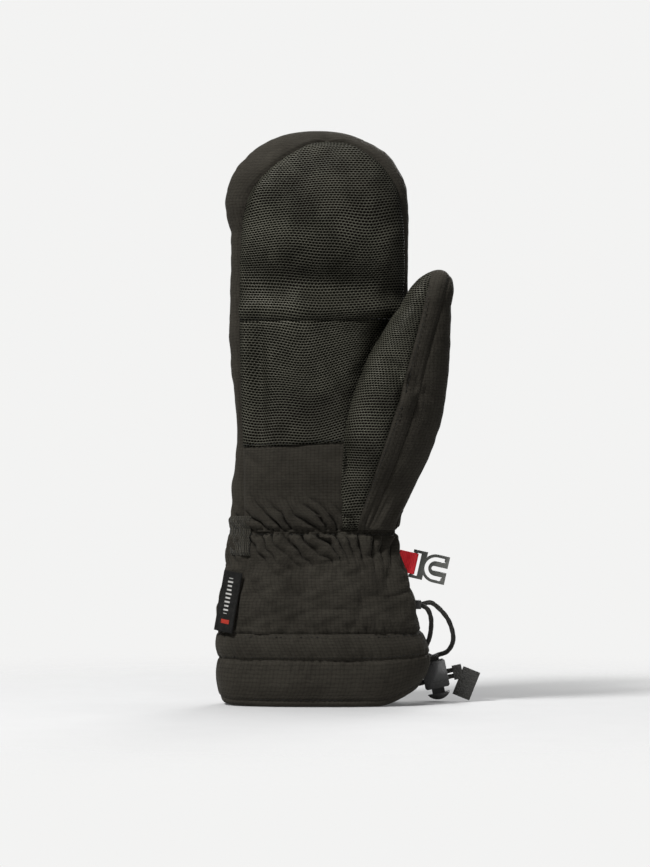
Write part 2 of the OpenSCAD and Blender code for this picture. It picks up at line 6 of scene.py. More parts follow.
import bpy
import numpy as np
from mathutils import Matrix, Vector


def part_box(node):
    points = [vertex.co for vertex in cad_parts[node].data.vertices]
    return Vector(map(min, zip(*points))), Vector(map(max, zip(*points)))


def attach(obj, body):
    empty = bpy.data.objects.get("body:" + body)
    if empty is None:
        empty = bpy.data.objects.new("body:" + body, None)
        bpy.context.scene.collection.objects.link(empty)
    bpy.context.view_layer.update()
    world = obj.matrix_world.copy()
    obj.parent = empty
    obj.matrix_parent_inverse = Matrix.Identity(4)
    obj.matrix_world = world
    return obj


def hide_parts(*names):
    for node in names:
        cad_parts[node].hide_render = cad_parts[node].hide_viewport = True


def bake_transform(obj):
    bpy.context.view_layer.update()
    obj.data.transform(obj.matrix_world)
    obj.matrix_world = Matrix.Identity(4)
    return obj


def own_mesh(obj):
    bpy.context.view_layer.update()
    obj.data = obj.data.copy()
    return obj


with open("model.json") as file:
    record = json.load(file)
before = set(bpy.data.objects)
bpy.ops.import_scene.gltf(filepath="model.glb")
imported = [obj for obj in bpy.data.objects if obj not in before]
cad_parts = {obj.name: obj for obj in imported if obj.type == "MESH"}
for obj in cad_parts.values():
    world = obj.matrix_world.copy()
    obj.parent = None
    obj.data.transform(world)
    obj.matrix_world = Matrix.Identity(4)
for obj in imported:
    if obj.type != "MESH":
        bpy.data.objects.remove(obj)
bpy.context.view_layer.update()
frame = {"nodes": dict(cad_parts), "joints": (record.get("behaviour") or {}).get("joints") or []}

MM = 0.001
PI = math.pi
# A dome's last row stays this far, in millimetres, below its tip.
NEAR = 0.00001
# A sewn piece's thread is its second material.
THREAD_SLOT = 1


def span(node, axis):
    """Low and high edge of a CAD node along X, Y or Z (0, 1, 2), in millimetres."""
    low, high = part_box(node)
    return low[axis] / MM, high[axis] / MM


def corners(node):
    """Low and high corner of a CAD node, in millimetres."""
    return [np.array(corner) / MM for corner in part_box(node)]


def joint(name):
    return next(j for j in frame["joints"] if j["name"] == name)


# ---- Dimensions from the frame, in millimetres ----
TOP_Z = span("back_panel", 2)[1]
WRIST_Z = round(span("back_panel", 2)[0])
HEEL_Z = round(span("palm_grip_lower", 2)[0])
KNUCKLE_Z = round(span("palm_grip_upper", 2)[0])
TUNNEL_Z = round(span("tunnel_band", 2)[0])
CUFF_Z = round(span("tunnel_band", 2)[1])
# The back panel's widest place is this much wider than the hand's width.
BACK_SHARE = 1.013
HAND_W = (span("back_panel", 0)[1] - span("back_panel", 0)[0]) / BACK_SHARE
CUFF_W = span("tunnel_band", 0)[1] - span("tunnel_band", 0)[0]
CUFF_T = span("tunnel_band", 1)[1] - span("tunnel_band", 1)[0]
SEAM_Z = WRIST_Z - 1
# The rounded end of the fingers and of the thumb: its height, and where it starts.
DOME_H = 45
DOME_Z = TOP_Z - DOME_H
THUMB_DOME_H = 21
THUMB_TOP = span("thumb_back_panel", 2)[1] - 1.2
THUMB_DOME_Z = THUMB_TOP - THUMB_DOME_H
# Powers of the rounded sections: 2 is an ellipse, and more is squarer.
SQUARE = 2.4
DOME_SQUARE = 2.15
THUMB_SQUARE = 2.25
# How far the thumb's tip leans away from the hand.
THUMB_LEAN = 7.6
# Heights between which the thumb's base stops being sewn to the palm.
THUMB_FREE = (196, 214)


# ---- Numbers along a height ----
def smooth_rows(rows, reach=3.5):
    """A smooth function of height for each column of rows, whose first column is the height."""
    step = 0.5
    low, high = rows[0][0], rows[-1][0]
    z = np.arange(low, high + step, step)
    kernel = np.exp(-((np.arange(-20, 21) * step / reach) ** 2))
    kernel /= kernel.sum()
    columns = []
    for k in range(1, len(rows[0])):
        v = np.interp(z, [r[0] for r in rows], [r[k] for r in rows])
        slope_low, slope_high = v[1] - v[0], v[-1] - v[-2]
        before = v[0] - slope_low * np.arange(20, 0, -1)
        after = v[-1] + slope_high * np.arange(1, 21)
        v = np.convolve(np.concatenate([before, v, after]), kernel, "valid")
        columns.append(v)
    return [lambda q, v=v: np.interp(q, z, v) for v in columns]


# Height, left edge, right edge and half thickness of the whole body.
BODY_ROWS = (
    [[z, left * CUFF_W, right * CUFF_W, half * CUFF_T] for z, left, right, half in [
        (0, -0.456, 0.452, 0.45), (6, -0.476, 0.482, 0.47), (14, -0.484, 0.498, 0.482),
        (23, -0.488, 0.512, 0.495), (28, -0.483, 0.51, 0.496), (34, -0.491, 0.494, 0.5),
        (42, -0.489, 0.472, 0.488), (51, -0.487, 0.448, 0.475), (61, -0.468, 0.426, 0.452),
        (70, -0.452, 0.412, 0.432), (84, -0.437, 0.38, 0.397), (93, -0.42, 0.354, 0.368),
        (102, -0.41, 0.355, 0.352)]]
    + [[z, left * HAND_W, right * HAND_W, half * HAND_W] for z, left, right, half in [
        (108, -0.495, 0.438, 0.196), (114, -0.497, 0.46, 0.202), (126, -0.498, 0.47, 0.212),
        (136, -0.489, 0.473, 0.219), (150, -0.474, 0.474, 0.226), (164, -0.477, 0.476, 0.23),
        (180, -0.487, 0.481, 0.231), (195, -0.502, 0.486, 0.232), (212, -0.515, 0.489, 0.232),
        (240, -0.511, 0.491, 0.231), (260, -0.506, 0.492, 0.23), (274, -0.509, 0.493, 0.229),
        (283, -0.526, 0.494, 0.228), (290, -0.533, 0.494, 0.226)]])
body_left, body_right, body_half = smooth_rows(BODY_ROWS)

# Height, left edge, right edge, middle in depth and half depth of the thumb.
THUMB_ROWS = [
    [z, left * HAND_W, right * HAND_W, mid, half] for z, left, right, mid, half in [
        (101, 0.12, 0.415, -7.5, 12.4), (108, 0.118, 0.438, -8, 13), (114, 0.116, 0.472, -8.6, 13.6),
        (126, 0.113, 0.518, -11, 15.2), (137, 0.115, 0.57, -14, 17), (150, 0.123, 0.625, -17.2, 18.6),
        (164, 0.138, 0.669, -20.4, 19.2), (178, 0.17, 0.692, -22.4, 18.9), (192, 0.225, 0.709, -24, 18.1),
        (205, 0.272, 0.717, -25.2, 17.3), (224, 0.386, 0.722, -26.5, 15.4), (233, 0.452, 0.72, -27, 14)]]
thumb_left, thumb_right, thumb_mid, thumb_half = smooth_rows(THUMB_ROWS)

# The palm's seams against the wrapped-over back: height, left seam, right seam.
PALM_TOP = TOP_Z - 5.2
PALM_ROWS = [
    [z, left * HAND_W, right * HAND_W] for z, left, right in [
        (101, -0.445, 0.44), (150, -0.452, 0.47), (190, -0.467, 0.478), (224, -0.472, 0.482),
        (255, -0.47, 0.484), (272, -0.463, 0.482), (283, -0.45, 0.476), (293, -0.428, 0.46),
        (300, -0.4, 0.443), (307, -0.348, 0.409), (314, -0.28, 0.36), (320, -0.205, 0.3),
        (325, -0.125, 0.225), (328.5, -0.045, 0.13)]] + [[PALM_TOP, 0.024 * HAND_W, 0.024 * HAND_W]]
palm_left, palm_right = smooth_rows(PALM_ROWS, 1.2)

# The thumb's two front seams, and the cuff's side seam.
THUMB_SEAM_ROWS = [
    [z, a * HAND_W, b * HAND_W] for z, a, b in [
        (101, 0.195, 0.262), (111, 0.216, 0.3), (127, 0.27, 0.36), (143, 0.32, 0.425), (160, 0.377, 0.484),
        (178, 0.434, 0.54), (200, 0.489, 0.59), (215, 0.529, 0.628), (227, 0.557, 0.662), (238, 0.579, 0.69),
        (249, 0.603, 0.716), (255, 0.617, 0.728)]]
grip_seam, side_seam = smooth_rows(THUMB_SEAM_ROWS)
cuff_seam = smooth_rows([[38, -0.424 * CUFF_W], [84, -0.35 * CUFF_W], [104, -0.337 * CUFF_W]])[0]


# ---- Small shape functions ----
def bell(x, width):
    return np.exp(-((x / width) ** 2))


def ramp(x, low, high):
    t = np.clip((x - low) / (high - low), 0, 1)
    return t * t * (3 - 2 * t)


def powered(v, e):
    return np.sign(v) * np.abs(v) ** e


def unit(v):
    return v / np.linalg.norm(v, axis=-1, keepdims=True)


def run_along(points, axis=0):
    """Distance covered along one axis of a path or grid of points, from 0."""
    steps = np.linalg.norm(np.diff(points, axis=axis), axis=-1)
    start = np.zeros_like(np.take(steps, [0], axis))
    return np.concatenate([start, np.cumsum(steps, axis=axis)], axis)


def at_distance(wanted, given, values):
    """Three columns of values, known at the given distances, read at the wanted ones."""
    return np.stack([np.interp(wanted, given, values[:, k]) for k in range(3)], -1)


def grid_between(zs, first, last, columns):
    """Heights and angles of a grid whose rows go from one angle to another."""
    phi = first[:, None] + (last - first)[:, None] * np.linspace(0, 1, columns)
    return np.repeat(zs[:, None], columns, 1), phi


def ripple(x, y, size, seed, layers=7):
    """Smooth random waves of about one wavelength, between -1 and 1."""
    rng = np.random.default_rng(seed)
    total = 0.0
    for _ in range(layers):
        a = rng.uniform(0, 2 * PI)
        k = 2 * PI / (size * rng.uniform(0.7, 1.5))
        total = total + np.sin(k * (x * math.cos(a) + y * math.sin(a)) + rng.uniform(0, 2 * PI))
    return total / (0.55 * layers)


# ---- The body's surface ----
def body_axes(z):
    """Middle, half width, half thickness and dome shrink at a height."""
    low = np.minimum(z, DOME_Z)
    left, right = body_left(low), body_right(low)
    t = np.clip((z - DOME_Z) / DOME_H, 0, 1)
    wide = (1 - t ** DOME_SQUARE) ** (1 / DOME_SQUARE)
    return (left + right) / 2, (right - left) / 2, body_half(low), wide, (1 - t ** 2) ** 0.5


def hem_lift(x, z):
    """The hem rises towards the thumb side."""
    return (14 * ramp(x, 32, 72) + 1.6 * ramp(-x, 50, 62)) * np.exp(-(np.maximum(z, 0) / 19) ** 1.3)


def body(z, phi, sink=0.0):
    """Points on the body at a height and angle (-90 is the palm's middle), sunk below the outer face."""
    mid, a, b, wide, thick = body_axes(z)
    x = mid + (a - sink) * wide * powered(np.cos(phi), 2 / SQUARE)
    y = (b - sink) * thick * powered(np.sin(phi), 2 / SQUARE)
    up = np.where(z > DOME_Z, DOME_Z + (z - DOME_Z) * (DOME_H - sink) / DOME_H, z)
    return np.stack([x, y, up + hem_lift(x, up)], -1)


def palm_angle(z, x):
    """The angle on the palm side at which the body is at x."""
    mid, a, _, wide, _ = body_axes(z)
    u = np.clip((x - mid) / np.maximum(a * wide, 1e-6), -1, 1)
    return -np.arccos(powered(u, SQUARE / 2))


def palm_edges(z):
    """Angles of the palm's two side seams, which meet at PALM_TOP and stay joined above it."""
    capped = np.minimum(z, PALM_TOP)
    left, right = palm_angle(capped, palm_left(capped)), palm_angle(capped, palm_right(capped))
    middle = (left + right) / 2
    joined = ramp(z, PALM_TOP - 0.6, PALM_TOP)
    return left + (middle - left) * joined, right + (middle - right) * joined


# ---- The thumb's surface ----
def thumb(z, phi, sink=0.0):
    """Points on the thumb at a height and angle, sunk below the outer face."""
    low = np.minimum(z, THUMB_DOME_Z)
    t = np.clip((z - THUMB_DOME_Z) / THUMB_DOME_H, 0, 1)
    wide = (1 - t ** 2) ** 0.5
    left, right = thumb_left(low), thumb_right(low)
    reach = ((right - left) / 2 - sink) * wide
    x = (left + right) / 2 + THUMB_LEAN * t + reach * powered(np.cos(phi), 2 / THUMB_SQUARE)
    y = thumb_mid(low) + (thumb_half(low) - sink) * wide * powered(np.sin(phi), 2 / THUMB_SQUARE)
    squeeze = (THUMB_DOME_H - sink) / THUMB_DOME_H
    up = np.where(z > THUMB_DOME_Z, THUMB_DOME_Z + (z - THUMB_DOME_Z) * squeeze, z)
    return np.stack([x, y, up], -1)


def thumb_angle(z, x):
    """The angle on the palm side at which the thumb is at x."""
    low = np.minimum(z, THUMB_DOME_Z)
    t = np.clip((z - THUMB_DOME_Z) / THUMB_DOME_H, 0, 1)
    left, right = thumb_left(low), thumb_right(low)
    reach = np.maximum((right - left) / 2 * (1 - t ** 2) ** 0.5, 1e-6)
    u = (x - (left + right) / 2 - THUMB_LEAN * t) / reach
    return -np.arccos(powered(np.clip(u, -0.995, 0.995), THUMB_SQUARE / 2))


def tuck(points, sink, lift=None):
    """Moves points inside the hand out to its shell, or onto it where the thumb's base is sewn on."""
    x, y, z = points[..., 0], points[..., 1], points[..., 2]
    mid, a, b, _, _ = body_axes(np.clip(z, 0, DOME_Z))
    if lift is not None:
        edge = thumb_left(np.minimum(z, THUMB_DOME_Z))
        shown = ramp(x, edge - 1.2, edge + 0.8) * ramp(-y, 1, 6) * (1 - ramp(z, *THUMB_FREE))
        phi = palm_angle(z, x)
        sink = sink - (sink + lift + gathers(z, phi)) * shown
    r = ((np.abs(x - mid) / (a - sink)) ** SQUARE + (np.abs(y) / (b - sink)) ** SQUARE) ** (1 / SQUARE)
    face = -(b - sink) * (1 - np.minimum(np.abs(x - mid) / (a - sink), 0.99) ** SQUARE) ** (1 / SQUARE)
    y = np.where(r < 1, y + (face - y) * ramp(-y, 1.0, 7.0), y)
    r = ((np.abs(x - mid) / (a - sink)) ** SQUARE + (np.abs(y) / (b - sink)) ** SQUARE) ** (1 / SQUARE)
    f = np.where(r < 1, 1 / np.maximum(r, 0.05), 1.0)
    return np.stack([mid + (x - mid) * f, y * f, z], -1)


# ---- Folds, puffs and grooves (positive stands out of the surface) ----
WRIST_ANGLES = np.linspace(-PI, PI, 2001)
WRIST_RING = body(np.full(2001, float(WRIST_Z)), WRIST_ANGLES)
WRIST_ARC = run_along(WRIST_RING)


def arc_at(phi):
    """Distance round the wrist for an angle, 0 at the palm's middle."""
    wrapped = (phi + PI) % (2 * PI) - PI
    return np.interp(wrapped, WRIST_ANGLES, WRIST_ARC) - np.interp(-PI / 2, WRIST_ANGLES, WRIST_ARC)


def gathers(z, phi):
    """Folds that the wrist elastic pulls in above and below its stitching."""
    s = arc_at(phi)
    above = z - SEAM_Z
    out = 0.0
    for sign, reach, lean, seed in ((1, 13.5, 1.05, 3), (-1, 15.0, 1.0, 8)):
        d = np.maximum(sign * above, 0)
        slant = lean * (1 - 1.25 * ramp(s, 4, 34)) * above
        path = s + slant + 3.0 * ripple(s, 0.6 * above, 24, seed) + 0.8 * ripple(s, above, 9, seed + 1)
        pitch = 8.2 + 1.2 * np.sin(s / 31.0 + seed)
        fold = np.abs(np.sin(PI * path / pitch)) ** 0.55 - 0.6
        size = 0.8 + 0.35 * ripple(s, d * 0.3, 21, seed + 2)
        grow = ramp(d, 0.0, 3.5) * np.exp(-((d / reach) ** 2))
        out = out + np.where(sign * above > 0, 6.2 * fold * size * grow, 0)
    fine = np.sin(2 * PI * (s + 0.5 * ripple(s, above, 5, 12)) / 3.4) * bell(above, 4.0)
    waist = -1.0 * bell(above, 3.0) + 0.5 * bell(np.abs(above) - 9, 6)
    lines = -0.55 * (bell(above - 1.4, 0.5) + bell(above + 1.4, 0.5))
    return out + 0.45 * fine + waist + lines


def crumple(x, z, size, seed):
    """Soft pads between sharp creases, between about -1 and 0.3."""
    return 0.3 - 1.3 * (1 - np.minimum(np.abs(ripple(x, z, size, seed, 4)), 1)) ** 3


def cloth_noise(x, z, seed, big=1.0, small=1.0):
    """The uneven hang of a light shell over padding: swells, creases and small dents."""
    return (0.8 * big * ripple(x, 0.8 * z, 46, seed) + 0.62 * small * ripple(x, z, 17, seed + 1)
            + 0.2 * small * ripple(x, z, 7, seed + 2) + 0.5 * big * crumple(x, z, 44, seed + 3)
            + 0.22 * small * crumple(x, z, 21, seed + 4))


def seam(distance, depth, width, puff, reach):
    """A stitched-down edge: a groove, then the padding's swell."""
    return -depth * bell(distance, width) - puff * bell(distance, reach)


def crease(x0, z0, x1, z1, x, z, width):
    """1 on a line between two points, fading sideways and towards its ends."""
    dx, dz = x1 - x0, z1 - z0
    length = math.hypot(dx, dz)
    along = ((x - x0) * dx + (z - z0) * dz) / length ** 2
    across = ((x - x0) * dz - (z - z0) * dx) / length
    fade = 0.25
    return bell(across, width) * ramp(along, -fade, fade) * (1 - ramp(along, 1 - fade, 1 + fade))


def palm_relief(x, z):
    """The grip palm's own shape: finger pad, the fold above the knuckles, and the heel's mound."""
    out = 1.9 * bell(z - 286, 26) * bell(x + 6, 36)
    out += -5.6 * bell(z - 245 + 0.12 * x, 9.0) * bell(x - 2, 36) + 2.4 * bell(z - 230, 6) + 0.7
    out += 2.4 * bell(z - 264 + 0.25 * x, 9) * bell(x + 10, 26)
    out += 3.2 * bell(x + 14, 17) * bell(z - 192, 30)
    out += -2.8 * crease(-37, 222, -35, 152, x, z, 5.0) + 1.0 * bell(x + 44, 4.0) * bell(z - 190, 40)
    out += -3.4 * crease(46, 240, 14, 160, x, z, 8.0)
    out += -0.8 * crease(-8, 226, 22, 178, x, z, 6.0)
    out += 0.4 * ripple(x, z, 34, 21) + 0.16 * ripple(x, z, 12, 22)
    return out


def underside(h, thick, share):
    """Depth of a cloth's inner face: it follows folds less than the outer face, but stays behind it."""
    return np.maximum(thick - share * h, 0.5 - h)


def give(x, z, phi):
    """How far the layers under the palm's deep fold move inward, as a negative height."""
    return np.minimum(palm_relief(x, z) + 2.4, 0) * ramp(-np.sin(phi), 0.2, 0.7) * bell(z - 235, 60)


# ---- Meshes ----
def arc_uv(points, mid_column):
    """Distances in metres across and along a grid of points."""
    across = run_along(points, 1)
    across -= across[:, mid_column:mid_column + 1]
    along = run_along(points)
    along[:] = along[:, mid_column:mid_column + 1]
    return np.stack([across, along], -1) * MM


def grid_faces(rows, columns, first, closed, flip):
    """Quads of a grid of points that starts at point number first."""
    i, j = np.meshgrid(np.arange(rows - 1), np.arange(columns if closed else columns - 1), indexing="ij")
    k = (j + 1) % columns
    quads = np.stack([i * columns + j, i * columns + k, (i + 1) * columns + k, (i + 1) * columns + j], -1)
    quads = quads.reshape(-1, 4) + first
    return quads[:, ::-1] if flip else quads


def rim_faces(rows, columns, closed):
    """Joins the outer grid's border to the inner grid's."""
    n = rows * columns
    loops = []
    if closed:
        loops.append([*range(columns), 0])
        loops.append([*range(n - 1, n - columns - 1, -1), n - 1])
    else:
        right = range(2 * columns - 1, n, columns)
        left = range(n - 2 * columns, -1, -columns)
        loops.append([*range(columns), *right, *range(n - 2, n - columns - 1, -1), *left])
    faces = []
    for ring in loops:
        for a, b in zip(ring[:-1], ring[1:]):
            faces.append([b, a, a + n, b + n])
    return np.array(faces)


def tube_faces(rings, sides):
    """A tube's wall, with both ends closed by strips across; sides is even."""
    strips = np.array([[k, k + 1, sides - 2 - k, sides - 1 - k] for k in range(sides // 2 - 1)])
    return np.concatenate([
        grid_faces(rings, sides, 0, True, False),
        strips[:, ::-1],
        strips + (rings - 1) * sides])


class Mesh:
    """Collects vertices, quads, UVs and material numbers, and makes one object of them."""

    def __init__(self):
        self.points, self.faces, self.uvs, self.slots = [], [], [], []
        self.count = 0

    def add(self, points, faces, uv, slot=0):
        """Adds quads, which count this call's points from 0."""
        flat = points.reshape(-1, 3)
        self.points.append(flat)
        self.uvs.append(uv.reshape(-1, 2))
        self.faces.append(faces + self.count)
        self.slots.append(np.full(len(faces), slot))
        self.count += len(flat)
        return self

    def sheet(self, outer, inner, closed=False, drop=None):
        """Two grids of points joined into one cloth of real thickness."""
        rows, columns = outer.shape[:2]
        uv = arc_uv(outer, columns // 2)
        faces = np.concatenate([
            grid_faces(rows, columns, 0, closed, False),
            grid_faces(rows, columns, rows * columns, closed, True),
            rim_faces(rows, columns, closed)])
        points = np.concatenate([outer.reshape(-1, 3), inner.reshape(-1, 3)])
        if drop is not None:
            gone = np.concatenate([drop.ravel(), drop.ravel()])
            faces = faces[~gone[faces].any(axis=1)]
        return self.add(points, faces, np.concatenate([uv, uv]))

    def piece(self, name, materials, node, slot):
        """Builds the mesh as the piece that takes a CAD node's place."""
        obj = self.build(name, materials)
        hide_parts(node)
        return obj

    def build(self, name, materials):
        points = np.concatenate(self.points) * MM
        faces = np.concatenate(self.faces)
        slots = np.concatenate(self.slots)
        uvs = np.concatenate(self.uvs)
        data = bpy.data.meshes.new(name)
        data.from_pydata(points.tolist(), [], faces.tolist())
        data.polygons.foreach_set("material_index", slots.astype(np.int32))
        data.polygons.foreach_set("use_smooth", np.full(len(faces), True))
        layer = data.uv_layers.new(name="UVMap")
        corner = np.zeros(len(data.loops), np.int32)
        data.loops.foreach_get("vertex_index", corner)
        layer.data.foreach_set("uv", uvs[corner].astype(np.float32).ravel())
        for m in materials:
            data.materials.append(m)
        data.validate()
        data.update()
        obj = bpy.data.objects.new(name, data)
        bpy.context.scene.collection.objects.link(obj)
        return obj


def resample(path, step):
    """The path at even steps, and its length."""
    d = run_along(path)
    q = np.linspace(0, d[-1], max(2, int(d[-1] / step) + 1))
    return at_distance(q, d, path), d[-1]


def stitches(mesh, path, outward, length, gap, radius, dip=0.0):
    """A row of thread stitches along a path on the cloth."""
    fine, total = resample(path, 0.25)
    d = np.linspace(0, total, len(fine))
    lifts = unit(at_distance(d, np.linspace(0, total, len(outward)), outward))
    tangent = unit(np.gradient(fine, axis=0))
    rings, sides = 6, 6
    share = np.arange(rings) / (rings - 1)
    bulge = np.sin(PI * (0.04 + 0.92 * share))
    r = radius * (0.45 + 0.55 * bulge)
    rise = (bulge * 1.1 - 0.75) * radius - dip
    a = np.linspace(0, 2 * PI, sides, endpoint=False)[None, :, None]
    start = gap / 2
    while start + length < total:
        q = start + length * share
        n = at_distance(q, d, lifts)
        centre = at_distance(q, d, fine) + n * rise[:, None]
        b = np.cross(at_distance(q, d, tangent), n)
        around = b[:, None] * np.cos(a) + n[:, None] * np.sin(a)
        uv = np.stack(np.meshgrid(np.arange(sides) / sides, q, indexing="xy"), -1) * MM
        mesh.add(centre[:, None] + around * r[:, None, None], tube_faces(rings, sides), uv, THREAD_SLOT)
        start += length + gap


def body_path(z, phi, lift):
    """Points and outward directions along the body, z and phi being arrays."""
    p = body(z, phi, -lift)
    return p, p - body(z, phi, 6 - lift)


def stitch_round(mesh, height, angles, count, lift, length, gap, radius):
    """A row of stitches round the body at one height, between two angles."""
    phi = np.linspace(*angles, count)
    p, out = body_path(np.full_like(phi, height), phi, lift)
    stitches(mesh, p, out, length, gap, radius)


# ---- Materials ----
class Nodes:
    """A small builder for node materials."""

    def __init__(self, name):
        self.material = bpy.data.materials.new(name)
        self.material.use_nodes = True
        self.tree = self.material.node_tree
        self.shader = self.tree.nodes["Principled BSDF"]

    def new(self, kind, **values):
        node = self.tree.nodes.new(kind)
        for key, value in values.items():
            if key in node.inputs.keys():
                self.put(value, node.inputs[key])
            else:
                setattr(node, key, value)
        return node

    def put(self, value, socket):
        if isinstance(value, bpy.types.NodeSocket):
            self.tree.links.new(value, socket)
        else:
            socket.default_value = value

    def math(self, operation, a, b=0.0):
        node = self.new("ShaderNodeMath", operation=operation)
        self.put(a, node.inputs[0])
        self.put(b, node.inputs[1])
        return node.outputs[0]

    def mul(self, a, b):
        return self.math("MULTIPLY", a, b)

    def sub(self, a, b):
        return self.math("SUBTRACT", a, b)

    def add(self, *terms):
        total = terms[0]
        for term in terms[1:]:
            total = self.math("ADD", total, term)
        return total

    def sine(self, value, rate):
        return self.math("SINE", self.mul(value, rate))

    def ridge(self, value, rate):
        """Humps between sharp valleys, one for each half wave."""
        return self.math("ABSOLUTE", self.sine(value, rate))

    def away(self, value, centre):
        return self.math("ABSOLUTE", self.sub(value, centre))

    def object_place(self):
        return self.tree.nodes.new("ShaderNodeTexCoord").outputs["Object"]

    def noise(self, vector, scale, detail=3.0, rough=0.55):
        node = self.new("ShaderNodeTexNoise", Vector=vector, Scale=scale, Detail=detail, Roughness=rough)
        return node.outputs["Fac"]

    def cells(self, vector, scale, feature="F1"):
        node = self.new("ShaderNodeTexVoronoi", Vector=vector, Scale=scale, feature=feature)
        return node.outputs["Distance"]

    def span(self, value, low, high, out_low=0.0, out_high=1.0):
        """A smooth step from out_low to out_high between two values."""
        node = self.new("ShaderNodeMapRange", interpolation_type="SMOOTHSTEP")
        for socket, v in zip(node.inputs[:5], (value, low, high, out_low, out_high)):
            self.put(v, socket)
        return node.outputs[0]

    def mix(self, factor, a, b):
        node = self.new("ShaderNodeMix", data_type="RGBA")
        self.put(factor, node.inputs[0])
        self.put(a, node.inputs[6])
        self.put(b, node.inputs[7])
        return node.outputs[2]

    def bump(self, height, distance, strength, normal=None):
        node = self.new("ShaderNodeBump", Height=height, Distance=distance, Strength=strength)
        if normal is not None:
            self.put(normal, node.inputs["Normal"])
        return node.outputs[0]

    def fold_shade_mask(self):
        """Mask for painted shade in sharp folds: 0 in sharp folds, 1 on open cloth."""
        return self.span(self.new("ShaderNodeNewGeometry").outputs["Pointiness"], 0.40, 0.49)

    def finish(self, **values):
        for key, value in values.items():
            self.put(value, self.shader.inputs[key.replace("_", " ")])
        return self.material

    def place(self):
        """UV across and along in millimetres, and the object's own coordinates."""
        uv = self.new("ShaderNodeUVMap", uv_map="UVMap").outputs[0]
        split = self.tree.nodes.new("ShaderNodeSeparateXYZ")
        self.put(uv, split.inputs[0])
        u, v = (self.mul(split.outputs[k], 1 / MM) for k in range(2))
        return u, v, self.object_place()


def rgb(*c):
    return (*c, 1.0)


def shell_material(name, light=1.0, pitch=0.62):
    """Matte woven nylon: fine weave, faint ripstop lines, worn and dusty in large patches, and painted shade
    darkening its sharp folds.
    """
    n = Nodes(name)
    u, v, where = n.place()
    wide = n.noise(where, 55.0, 4.0)
    fine = n.noise(where, 900.0, 2.0)
    wobble = n.mul(n.sub(n.noise(where, 160.0), 0.5), 1.2)
    uu = n.add(u, wobble)
    vv = n.add(v, wobble)
    weave = n.mul(n.sine(uu, 2 * PI / pitch), n.sine(vv, 2 * PI / pitch))
    down = n.math("POWER", n.ridge(uu, PI / 2.4), 12.0)
    across = n.math("POWER", n.ridge(vv, PI / 1.8), 9.0)
    ripstop = n.add(down, across)
    stretched = n.new("ShaderNodeCombineXYZ", X=n.mul(uu, 0.3), Y=n.mul(vv, 1.6)).outputs[0]
    streak = n.span(n.noise(stretched, 1.0, 2.0), 0.35, 0.7)
    dark = rgb(0.0095 * light, 0.0081 * light, 0.0062 * light)
    pale = rgb(0.0290 * light, 0.0262 * light, 0.0205 * light)
    tone = n.add(n.mul(wide, 0.5), n.mul(streak, 0.13), n.mul(weave, 0.10), n.mul(fine, 0.16))
    tone = n.sub(tone, n.mul(ripstop, 0.13))
    color = n.mix(n.span(tone, 0.0, 0.65), dark, pale)
    # Painted shade: sharp folds are darkened to near black in the colour.
    color = n.mix(n.fold_shade_mask(), rgb(0.0012, 0.0011, 0.0009), color)
    height = n.sub(n.add(n.mul(weave, 0.5), n.mul(streak, 0.3)), n.mul(ripstop, 0.6))
    normal = n.bump(height, 0.00014, 0.75, n.bump(n.noise(where, 130.0, 4.0), 0.0009, 0.5))
    return n.finish(
        Base_Color=color, Roughness=n.span(tone, 0.0, 1.0, 0.86, 0.7), Normal=normal,
        Sheen_Weight=0.05, Sheen_Roughness=0.5, Sheen_Tint=rgb(0.75, 0.7, 0.6),
        Specular_IOR_Level=0.14, Specular_Tint=rgb(1.0, 0.95, 0.86))


def grip_material(name):
    """Coated grip fabric: staggered dark pits between raised threads, in rows that drift, and painted shade
    in its sharp folds.
    """
    pitch, row = 1.95, 1.5
    n = Nodes(name)
    u, v, where = n.place()
    drift = n.new("ShaderNodeTexNoise", Vector=where, Scale=15.0, Detail=1.0)
    split = n.tree.nodes.new("ShaderNodeSeparateColor")
    n.put(drift.outputs["Color"], split.inputs[0])
    uu = n.add(u, n.mul(n.sub(split.outputs[0], 0.5), 16.0))
    vv = n.add(v, n.mul(n.sub(split.outputs[1], 0.5), 20.0))
    line = n.math("DIVIDE", vv, row)
    shift = n.mul(n.math("FLOORED_MODULO", n.math("FLOOR", line), 2.0), 0.5)
    cell_u = n.sub(n.math("FRACT", n.add(n.math("DIVIDE", uu, pitch), shift)), 0.5)
    cell_v = n.sub(n.math("FRACT", line), 0.5)
    reach_u = n.math("POWER", n.mul(cell_u, 2.0), 2.0)
    reach_v = n.math("POWER", n.mul(cell_v, 2.4), 2.0)
    raised = n.span(n.math("SQRT", n.add(reach_u, reach_v)), 0.6, 1.2)
    wide = n.noise(where, 42.0, 4.0)
    fine = n.noise(where, 1400.0, 2.0)
    patch = n.add(wide, n.mul(n.noise(where, 17.0, 2.0), 0.5), n.mul(fine, 0.2))
    wear = n.span(patch, 0.7, 1.06)
    low = rgb(0.0022, 0.0021, 0.0015)
    top = n.mix(wear, rgb(0.0250, 0.0243, 0.0175), rgb(0.0600, 0.0585, 0.0440))
    # Painted shade: sharp folds take the dark pit colour.
    color = n.mix(n.fold_shade_mask(), low, n.mix(raised, low, top))
    normal = n.bump(n.add(raised, n.mul(fine, 0.12)), 0.0004, 0.8, n.bump(wide, 0.001, 0.3))
    return n.finish(
        Base_Color=color, Roughness=n.sub(0.8, n.mul(raised, 0.28)), Normal=normal,
        Specular_IOR_Level=n.mul(raised, 0.34), Specular_Tint=rgb(1.0, 0.96, 0.84))


